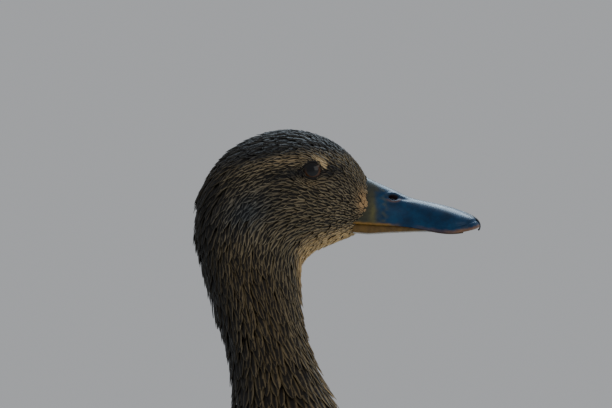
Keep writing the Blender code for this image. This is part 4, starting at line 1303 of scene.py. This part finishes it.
def banded_material(name, bands, gloss=0.0):
    """A stiff vane in bands across it: bands are (share of its length, colour), each up to the next."""
    made, shader, wires = new_material(name, 0.5, 0.4)
    _, along, across = wires.vane()
    wavy = wires.math("MULTIPLY_ADD", wires.noise(300.0), 0.03, along)
    ramp = wires.put("ShaderNodeValToRGB", {"Fac": wires.math("MULTIPLY_ADD", across, -0.05, wavy)})
    ramp.color_ramp.interpolation = "LINEAR"
    first, last = ramp.color_ramp.elements
    first.color = (*bands[0][1], 1)
    last.position, last.color = 1.0, (*bands[-1][1], 1)
    for (start, tint), (_, before) in zip(bands[1:], bands):
        for shift, value in ((-0.008, before), (0.008, tint)):
            ramp.color_ramp.elements.new(start + shift).color = (*value, 1)
    slanted = wires.math("MULTIPLY_ADD", across, -0.3, along)
    barb = wires.math("SINE", wires.math("MULTIPLY", slanted, 2 * math.pi * 70))
    shaft = wires.math("SUBTRACT", 1.0, wires.between(across, 0.03, 0.08))
    # Painted shade: each vane darkens towards its edges, where it meets the next feather.
    edge = wires.math("MULTIPLY", wires.between(across, 0.35, 1.0), 0.55)
    banded = ramp.outputs["Color"]
    tint = wires.mix(edge, banded, wires.mix(1.0, banded, (0.35, 0.33, 0.34, 1), "MULTIPLY"))
    tint = wires.mix(wires.math("MULTIPLY", shaft, 0.8), tint, (0.012, 0.010, 0.009, 1))
    wires.feed(tint, shader, "Base Color")
    shader.inputs["Metallic"].default_value = gloss
    wires.bump(wires.math("MULTIPLY_ADD", barb, 0.3, shaft), 0.5, 0.2 * MM, shader)
    return made


GREY_BROWN, BLUE = colour(92, 80, 68), colour(36, 42, 122)
BLACK, WHITE = colour(18, 16, 18), colour(226, 222, 214)
panel = ((0, GREY_BROWN), (0.10, BLUE), (0.80, BLACK), (0.885, WHITE))
speculum = banded_material("speculum_vane", panel, 0.35)
barred = banded_material("barred_covert_vane", ((0, GREY_BROWN), (0.70, WHITE), (0.87, BLACK)))
flight = feather_material("flight_vane", 70.0, 0.45, 0.12)

# Outlines: places along a feather, and its width there as a share of the full one.
BROAD = ((0.0, 0.5), (0.3, 0.92), (0.7, 1.0), (0.86, 0.9), (0.95, 0.62), (1.0, 0.2))
TAPERED = ((0.0, 0.7), (0.3, 1.0), (0.6, 0.9), (0.85, 0.55), (1.0, 0.12))
wing_row(
    "primaries", 7, ((-52, 152), (-50, 140)), ((-153, 163), (-124, 156), (-100, 148)), (10, 11, 12),
    (-0.8, 1.6), 31, flight, (colour(58, 48, 40), colour(150, 130, 106), 0.90), TAPERED, 0.4, rows=16,
)
wing_row(
    "secondaries", 9, ((2, 160), (0, 131)), ((-60, 162), (-66, 150), (-54, 134)), (13, 13),
    (-0.6, -0.2), 32, speculum, (GREY_BROWN, GREY_BROWN, 0.9), BROAD, rows=12,
)
wing_row(
    "greater_coverts", 9, ((40, 164), (34, 129)), ((-12, 162), (-10, 132)), (12.5, 12),
    (0.0, 0.5), 33, barred, (GREY_BROWN, GREY_BROWN, 0.9), BROAD, rows=11,
)
wing_row(
    "median_coverts", 9, ((60, 168), (54, 127)), ((20, 166), (17, 129)), (12, 11),
    (0.3, 0.9), 34, flight, (colour(84, 70, 58), colour(150, 130, 104), 0.84), BROAD,
)


def evenly(size):
    """The same spacing everywhere."""
    return lambda points, _: np.full(len(points), size)


def tract(name, x_range, z_range, spacing, size, lift, seed, colours, keep=None, lean=0.0):
    """Feathers spread over a part of both sides, seen from the side as x and z ranges in mm."""
    edges = locate([(x, z) for x in x_range for z in z_range])
    t_range, turn_range = (edges[0].min(), edges[0].max()), (edges[1].min() - 0.05, edges[1].max() + 0.05)
    t, turn = scatter(bird, t_range, turn_range, evenly(spacing * MM), seed)
    x, _, z = bird.point(t, turn).T / MM
    inside = (x > x_range[0]) & (x < x_range[1]) & (z > z_range[0]) & (z < z_range[1])
    if keep:
        inside &= keep(x, z)
    t, turn = t[inside], turn[inside]
    rng = np.random.default_rng(seed + 500)
    t, turn = np.tile(t, 2), np.concatenate([turn, -turn])
    length, width = (vary(np.full(len(t), v * MM), rng, amount) for v, amount in zip(size, (0.12, 0.08)))
    tips = lift[1] * MM + rng.uniform(-0.3, 0.3, len(t)) * MM
    leans = rng.normal(0, 0.05, len(t)) + lean * np.sign(turn)
    return lay(name, bird, t, turn, length, width, lift[0] * MM, tips, ROUNDED, body_feathers, seed,
               WIDE_VANE, 0.2 * MM, 0.6, lean=leans, camber=0.10, colours=flat_colours(len(t), *colours))


def above_wing(x, z):
    """Over the folded wing's top edge, where the shoulder feathers are."""
    return z > np.interp(x, (-40, 20, 90), (164, 171, 166))


def below_wing(x, z):
    """Under the folded wing's lower edge, where the flank feathers are."""
    return z < np.interp(x, (-62, 0, 60, 104), (122, 119, 122, 134))


tract(
    "lesser_coverts", (56, 100), (127, 178), 6.5, (19, 11.5), (-1.4, 1.7), 35,
    (colour(72, 59, 48), colour(138, 116, 90), 0.80),
)
wing_row(
    "tertials", 5, ((24, 178), (8, 158)), ((-62, 172), (-84, 170), (-98, 166), (-98, 160), (-86, 153)),
    (19, 21, 22), (0.4, 1.4), 36, flight, (colour(72, 58, 46), colour(158, 132, 98), 0.84), BROAD, 0.15,
    rows=18,
)
tract(
    "scapulars", (-34, 88), (160, 206), 9.5, (40, 21), (-1.5, 2.2), 37,
    (colour(44, 34, 26), colour(164, 130, 90), 0.80, 1.0, 0.75), above_wing, 0.06,
)
tract(
    "flanks", (-62, 104), (96, 140), 9.5, (38, 20), (-2.0, 1.4), 38,
    (colour(60, 45, 32), colour(190, 155, 112), 0.76, 1.0, 0.95), below_wing, -0.04,
)


# ---- Tail ----------------------------------------------------------------------------------------------
# Nine stiff brown feathers on each side with buff edges, rooted in the rump and spread in a low fan. The
# middle pair lies on top.


class Fan:
    """A gently arched sheet behind the rump, that feathers can be laid on: t runs back, turn to the left."""

    ROOT_X, HEIGHT, RISE, ARCH = -112 * MM, 158.4 * MM, 0.012, 4.2

    def point(self, t, turn):
        """Places on the sheet."""
        height = self.HEIGHT + self.RISE * t - self.ARCH * turn**2
        return np.stack([self.ROOT_X - t, turn + 0 * t, height], -1)

    def slopes(self, t, turn):
        """How places move with t and with turn."""
        zero = 0 * turn
        along = np.stack([zero - 1, zero, zero + self.RISE], -1)
        return along, np.stack([zero, zero + 1, -2 * self.ARCH * turn], -1)

    def normal(self, t, turn):
        """Straight up from the sheet."""
        along, around = self.slopes(t, turn)
        return unit(np.cross(around, along))


count = 9
share = np.linspace(0, 1, count)
turn, tip_turn = (2 + 8 * share) * MM, (3.5 + 24.5 * share**1.1) * MM
tip_t = (76 - 22 * share**1.6) * MM
stack = np.tile(1.4 - 3.0 * share, 2) * MM
outline = np.array([  # places along a feather, and its width there as a share of the full one
    (0, 0.5), (0.2, 0.7), (0.45, 0.9), (0.7, 1.0), (0.85, 0.92), (0.94, 0.62), (0.98, 0.34), (1.0, 0.1),
])
dark = np.tile(colour(84, 69, 54) * (1 + 0.25 * share[:, None]), (2, 1))
pale = np.tile(colour(196, 178, 146), (2 * count, 1))
marks = np.tile(np.stack([0.84 - 0.14 * share, 0.9 + 0 * share, 0.3 + 0.4 * share], 1), (2, 1))
width = np.tile(15.5 - 1.5 * share, 2) * MM
ends = (np.tile(tip_t, 2), np.concatenate([tip_turn, -tip_turn]))
lay("tail_feathers", Fan(), np.zeros(2 * count), np.concatenate([turn, -turn]), 1.0, width, stack - 1.0 * MM,
    stack, outline, flight, 41, thickness=0.4 * MM, lopsided=-0.2, colours=(dark, pale, marks), ends=ends,
    ragged=0.02, **STIFF)


# ---- Legs ----------------------------------------------------------------------------------------------
# Small downy feathers end at the ankle. Below it the shank, the three webbed toes and the raised hind toe are
# one scaly orange skin, with broad plates down the front and along each toe. The claws are dark horn.
for word, form in thighs.items():
    t, turn = scatter(form, (1 * MM, form.length - 2.0 * MM), (-1, 1), evenly(2.5 * MM), 51)
    rng = np.random.default_rng(52)
    near_ankle = smooth_step(t, form.length * 0.4, form.length)
    length = vary((9.5 - 4.0 * near_ankle) * MM, rng, 0.2)
    width = vary((5.0 - 2.2 * near_ankle) * MM, rng, 0.15)
    tips, lean = rng.uniform(-0.3, 0.3, len(t)) * MM, rng.normal(0, 0.1, len(t))
    colours = flat_colours(len(t), colour(120, 94, 64), colour(176, 145, 104), 0.45, 0.8)
    lay(f"coat_thigh_{word}", form, t, turn, length, width, -1.7 * MM, tips, POINTED, head_feathers, 53,
        NARROW_VANE, 0.12 * MM, 0.5, lean=lean, colours=colours)

# Where the shank meets the toes, how far behind it the toes spread from, and for each toe its angle outwards
# in degrees, its length in mm, and where its joints are as shares of that.
FOOT, FAN_BACK = Vector((32.2, 29.0, 0.0)), 4.0
TOES = {
    "inner": (-30, 41.0, (0.42, 0.80)),
    "middle": (-3, 52.0, (0.36, 0.66, 0.88)),
    "outer": (22, 49.0, (0.30, 0.54, 0.75, 0.90)),
}
HALLUX = ((-2.5, -1.0, 8.5), (-6.5, -2.6, 7.0), (-10.5, -3.6, 5.0), (-14.2, -4.5, 3.0))  # from FOOT, in mm
SHANK = np.array([  # share of its length, half width and half depth in mm, down from the ankle
    (0.0, 2.6, 3.6), (0.08, 3.9, 5.0), (0.18, 3.5, 4.2), (0.40, 2.2, 3.2),
    (0.62, 2.2, 3.0), (0.82, 2.7, 3.3), (0.93, 3.4, 3.6), (1.0, 3.0, 2.9),
])
PLATE = 1.7  # the length in mm of one plate
LIMB_SIDES = 28


def limb(name, path, widths, heights, steps, knots=None):
    """A closed tube along a path in mm, with half widths sideways and half heights, and its middle line."""
    if knots is None:
        knots = np.linspace(0, 1, len(path))
    table = np.column_stack([np.array(path, float), widths, heights])
    rows = spline(knots, table, np.linspace(0, 1, steps))
    centre, wide, high = rows[:, :3], rows[:, 3], rows[:, 4]
    ahead = unit(np.gradient(centre, axis=0))
    across = unit(np.cross((0, 0, 1) if abs(ahead[0, 2]) < 0.8 else (-1, 0, 0), ahead))
    up = np.cross(ahead, across)
    a = np.arange(LIMB_SIDES) * 2 * math.pi / LIMB_SIDES
    sideways = across[:, None] * (wide[:, None] * np.cos(a))[..., None]
    upwards = up[:, None] * (high[:, None] * np.sin(a))[..., None]
    return tube_object(name, (centre[:, None] + sideways + upwards) * MM), centre


def knuckled(length, joints, size, bulge):
    """Half sizes along a toe, a little thicker at each joint."""
    s = np.linspace(0, 1, 15)
    bumps = sum(np.exp(-(((s - joint) * length / 3.0) ** 2)) for joint in joints)
    return (size * (1 - 0.32 * s)) + bulge * bumps


def toe_place(side, angle, reach, height):
    """A place that far from where the toes spread, at an angle outwards, in mm."""
    turn = math.radians(angle)
    back = FOOT.x - FAN_BACK
    return (back + reach * math.cos(turn), side * (FOOT.y + reach * math.sin(turn)), height)


leg_skin, shader, wires = new_material(
    "leg_skin", 0.42, 0.5, Coat_Weight=0.15, Coat_Roughness=0.3, Subsurface_Weight=0.08
)
shader.inputs["Subsurface Radius"].default_value = (0.002, 0.0008, 0.0004)
# The place along the limb in dm, and how plated it is.
plates = wires.put("ShaderNodeSeparateColor", {0: wires.attribute("plates")}).outputs
wave = wires.math("SINE", wires.math("MULTIPLY", plates[0], math.pi * 100 / PLATE))
seam = wires.between(wires.math("ABSOLUTE", wave), 0.0, 0.5)
in_cells = {"Vector": wires.put("ShaderNodeTexCoord").outputs["Object"], "Scale": 1100.0}
cells = wires.put("ShaderNodeTexVoronoi", in_cells, feature="DISTANCE_TO_EDGE")
pebbles = wires.between(cells.outputs["Distance"], 0.0, 0.16)
pebbled = wires.math("MULTIPLY", pebbles, wires.math("SUBTRACT", 1.0, plates[1]))
height = wires.math("MULTIPLY_ADD", seam, plates[1], pebbled)
tint = wires.attribute("tint")
# The skin is darker down in the seams between its plates and scales.
darker_in_seams = wires.mix(1.0, tint, (0.42, 0.36, 0.34, 1), "MULTIPLY")
share = wires.math("MULTIPLY", wires.math("SUBTRACT", 1.0, height), 0.5)
wires.feed(wires.mix(share, tint, darker_in_seams), shader, "Base Color")
wires.bump(height, 0.6, 0.35 * MM, shader)
claw_horn, shader, wires = new_material("claw_horn", 0.35, 0.5)
tint = wires.mix(wires.noise(500.0), (*colour(26, 20, 18), 1), (*colour(62, 48, 40), 1))
wires.feed(tint, shader, "Base Color")


def finish_claw(made, node):
    """Paints and registers a claw."""
    made.data.materials.append(claw_horn)
    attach(made, "root")
    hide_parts(node)


for word, side in (("left", 1), ("right", -1)):
    ankle, foot = Vector((ANKLE.x, side * ANKLE.y, ANKLE.z + 3)), Vector((FOOT.x, side * FOOT.y, 4.6))
    path = [tuple(ankle.lerp(foot, share)) for share in SHANK[:, 0]]
    limbs = [limb("shank", path, SHANK[:, 1], SHANK[:, 2], 60, SHANK[:, 0])]
    for angle, length, joints in TOES.values():
        high = knuckled(length, joints, 2.35, 0.28)
        wide = knuckled(length, joints, 2.3, 0.42)
        path = []
        for k, half_height in zip(np.linspace(0, 1, len(high)), high):
            bent = angle + 2.0 * math.sin(math.pi * k)
            path.append(toe_place(side, bent, 1 + (length - 1.0) * k, half_height * 0.93))
        limbs.append(limb("toe", path, wide, high, 70))
    path = [(FOOT.x + x, side * (FOOT.y + y), z) for x, y, z in HALLUX]
    limbs.append(limb("hallux", path, (1.9, 1.9, 2.0, 1.3), (1.9, 2.0, 2.2, 1.3), 24))
    pieces, lines = (list(column) for column in zip(*limbs))
    for first, second in (("inner", "middle"), ("middle", "outer")):
        (angle_a, length_a, _), (angle_b, length_b, _) = TOES[first], TOES[second]
        shares, rings = np.linspace(0, 1, 25), []
        for k in np.linspace(0, 1, 24):
            angles = angle_a + (angle_b - angle_a) * shares
            hollow = 0.97 - 0.15 * np.sin(math.pi * shares) ** 0.8
            reach = (length_a + (length_b - length_a) * shares) * hollow
            distance = 3 + (reach - 3) * k
            fold = 0.18 * np.sin(shares * math.pi * 5) * k
            top = [toe_place(side, a, d, 1.45 + f) for a, d, f in zip(angles, distance, fold)]
            bottom = [toe_place(side, a, d, 0.1) for a, d in zip(angles, distance)]
            rings.append(top + bottom[::-1])
        pieces.append(tube_object("web", np.array(rings) * MM))
    target, others = pieces[0], pieces[1:]
    bm = bmesh.new()
    for piece in pieces:
        bm.from_mesh(piece.data)
    bmesh.ops.recalc_face_normals(bm, faces=bm.faces)
    bm.to_mesh(target.data)
    bm.free()
    for other in others:
        bpy.data.objects.remove(other)
    melting = {"REMESH": {"mode": "VOXEL", "voxel_size": 0.42 * MM}}
    melting["SMOOTH"] = {"factor": 0.5, "iterations": 4}
    for kind, settings in melting.items():
        modifier = target.modifiers.new(kind, kind)
        for label, value in settings.items():
            setattr(modifier, label, value)
    solid = bpy.data.meshes.new_from_object(target.evaluated_get(bpy.context.evaluated_depsgraph_get()))
    bpy.data.objects.remove(target)
    leg = bpy.data.objects.new(f"leg_{word}", solid)
    bpy.context.scene.collection.objects.link(leg)
    points = vertices_of(leg) / MM
    best, along, above = np.full(len(points), 1e9), np.zeros(len(points)), np.zeros(len(points))
    started = 0.0
    for line in lines:
        heading = line[-1] - line[0]
        span = np.linalg.norm(heading)
        heading = heading / span
        place = np.clip((points - line[0]) @ heading, 0, span)
        index = np.clip((place / span * (len(line) - 1)).astype(int), 0, len(line) - 1)
        offset = points - line[index]
        distance = np.linalg.norm(offset, axis=1)
        closer = distance < best
        best[closer], along[closer] = distance[closer], (place + started)[closer]
        face = np.array((1.0, 0, 0)) if abs(heading[2]) > 0.8 else np.array((0, 0, 1.0))
        above[closer] = ((offset @ face) / np.maximum(distance, 1e-6))[closer]
        started += span + 3
    plated = smooth_step(above, 0.15, 0.5) * (1 - smooth_step(best, 3.4, 4.2) * (points[:, 2] < 4))
    webbed = smooth_step(best, 2.6, 4.0) * (points[:, 2] < 3.5)
    normals = np.empty(len(points) * 3, np.float32)
    solid.vertices.foreach_get("normal", normals)
    plate_height = np.abs(np.sin(math.pi * along / PLATE)) ** 0.5
    points = points + normals.reshape(-1, 3) * (plated * (plate_height - 0.6) * 0.14)[:, None]
    points[:, 2] = np.maximum(points[:, 2], 0.0) * (points[:, 2] > 0.35)  # a flat sole
    solid.vertices.foreach_set("co", (points * MM).astype(np.float32).ravel())
    solid.update()
    set_colour(solid, "plates", np.stack([along / 100, plated], 1))
    patchy = ripple(points * MM, 9 * MM, 55)
    tints = np.tile(colour(214, 116, 54), (len(points), 1))
    tints += (colour(176, 92, 50) - tints) * np.clip(0.55 * webbed + 0.3 * patchy * webbed, 0, 1)[:, None]
    knee = np.exp(-(((points[:, 2] - 52) / 7) ** 2)) * 0.5
    tints += (colour(150, 96, 54) - tints) * np.clip(knee + 0.25 * patchy, 0, 1)[:, None]
    set_colour(solid, "tint", tints)
    solid.materials.append(leg_skin)
    solid.shade_smooth()
    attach(leg, "root")
    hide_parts(f"shank_{word}", f"foot_{word}", f"hallux_{word}")
    for toe, (angle, length, _) in TOES.items():
        path = []
        for s in np.linspace(0, 1, 7):
            reach = length - 3.4 + 6.4 * s
            path.append(toe_place(side, angle, reach, 2.3 + 0.7 * math.sin(math.pi * s) - 1.9 * s**2))
        sizes = np.array((1.2, 1.2, 1.1, 0.95, 0.75, 0.45, 0.12))
        made, _ = limb(f"claw_sheath_{toe}_{word}", path, sizes * 0.85, sizes, 30)
        finish_claw(made, f"claw_{toe}_{word}")
    back = (Vector(HALLUX[3]) - Vector(HALLUX[2])).normalized()
    end = Vector((FOOT.x - 13.6, FOOT.y - 4.35, 3.3))
    path = []
    for s in np.linspace(0, 1, 6).tolist():
        place = end + back * (4.6 * s)
        path.append((place.x, side * place.y, place.z + 0.5 * math.sin(math.pi * s)))
    sizes = (0.85, 0.8, 0.7, 0.5, 0.3, 0.1), (1.0, 0.95, 0.8, 0.6, 0.4, 0.12)
    made, _ = limb(f"claw_sheath_hallux_{word}", path, *sizes, 24)
    finish_claw(made, f"claw_hallux_{word}")


# ---- Stage ---------------------------------------------------------------------------------------------
# A pale floor and soft studio light: a large cool lamp above and behind, and a weaker warm fill in front.
# The camera looks level at the head from the bird's right.
floor_mesh = bmesh.new()
bmesh.ops.create_grid(floor_mesh, x_segments=1, y_segments=1, size=6.0)
mesh = bpy.data.meshes.new("floor")
floor_mesh.to_mesh(mesh)
floor = bpy.data.objects.new("floor", mesh)
bpy.context.scene.collection.objects.link(floor)
paper, shader, _ = new_material("paper", 0.9)
shader.inputs["Base Color"].default_value = (0.72, 0.72, 0.70, 1)
mesh.materials.append(paper)


def lamp(name, place, target, size, power, tint):
    """A square lamp that shines at a target and isn't seen itself."""
    light = bpy.data.lights.new(name, "AREA")
    light.size, light.energy, light.color = size, power, tint
    made = bpy.data.objects.new(name, light)
    made.location = place
    made.rotation_euler = (Vector(target) - Vector(place)).to_track_quat("-Z", "Y").to_euler()
    made.visible_camera = False
    bpy.context.scene.collection.objects.link(made)


lamp("key", (0.5, 1.5, 2.1), (0.0, 0.0, 0.2), 1.5, 62, (0.72, 0.87, 1.0))
lamp("fill", (1.5, -1.9, 1.1), (0.0, 0.0, 0.2), 1.8, 14, (1.0, 0.95, 0.88))

DISTANCE, FRAME_WIDTH = 2.2, 0.255
camera_data = bpy.data.cameras.new("camera")
camera = bpy.data.objects.new("camera", camera_data)
bpy.context.scene.collection.objects.link(camera)
camera_data.lens = camera_data.sensor_width * DISTANCE / FRAME_WIDTH
camera.location = (EYE.x - 2.7 * MM, -DISTANCE, EYE.z - 14 * MM)
camera.rotation_euler = (math.radians(90), 0, 0)
bpy.context.scene.camera = camera
world = bpy.data.worlds.new("world")
bpy.context.scene.world = world
world.use_nodes = True
world.node_tree.nodes["Background"].inputs["Color"].default_value = (0.80, 0.82, 0.85, 1)
world.node_tree.nodes["Background"].inputs["Strength"].default_value = 0.50
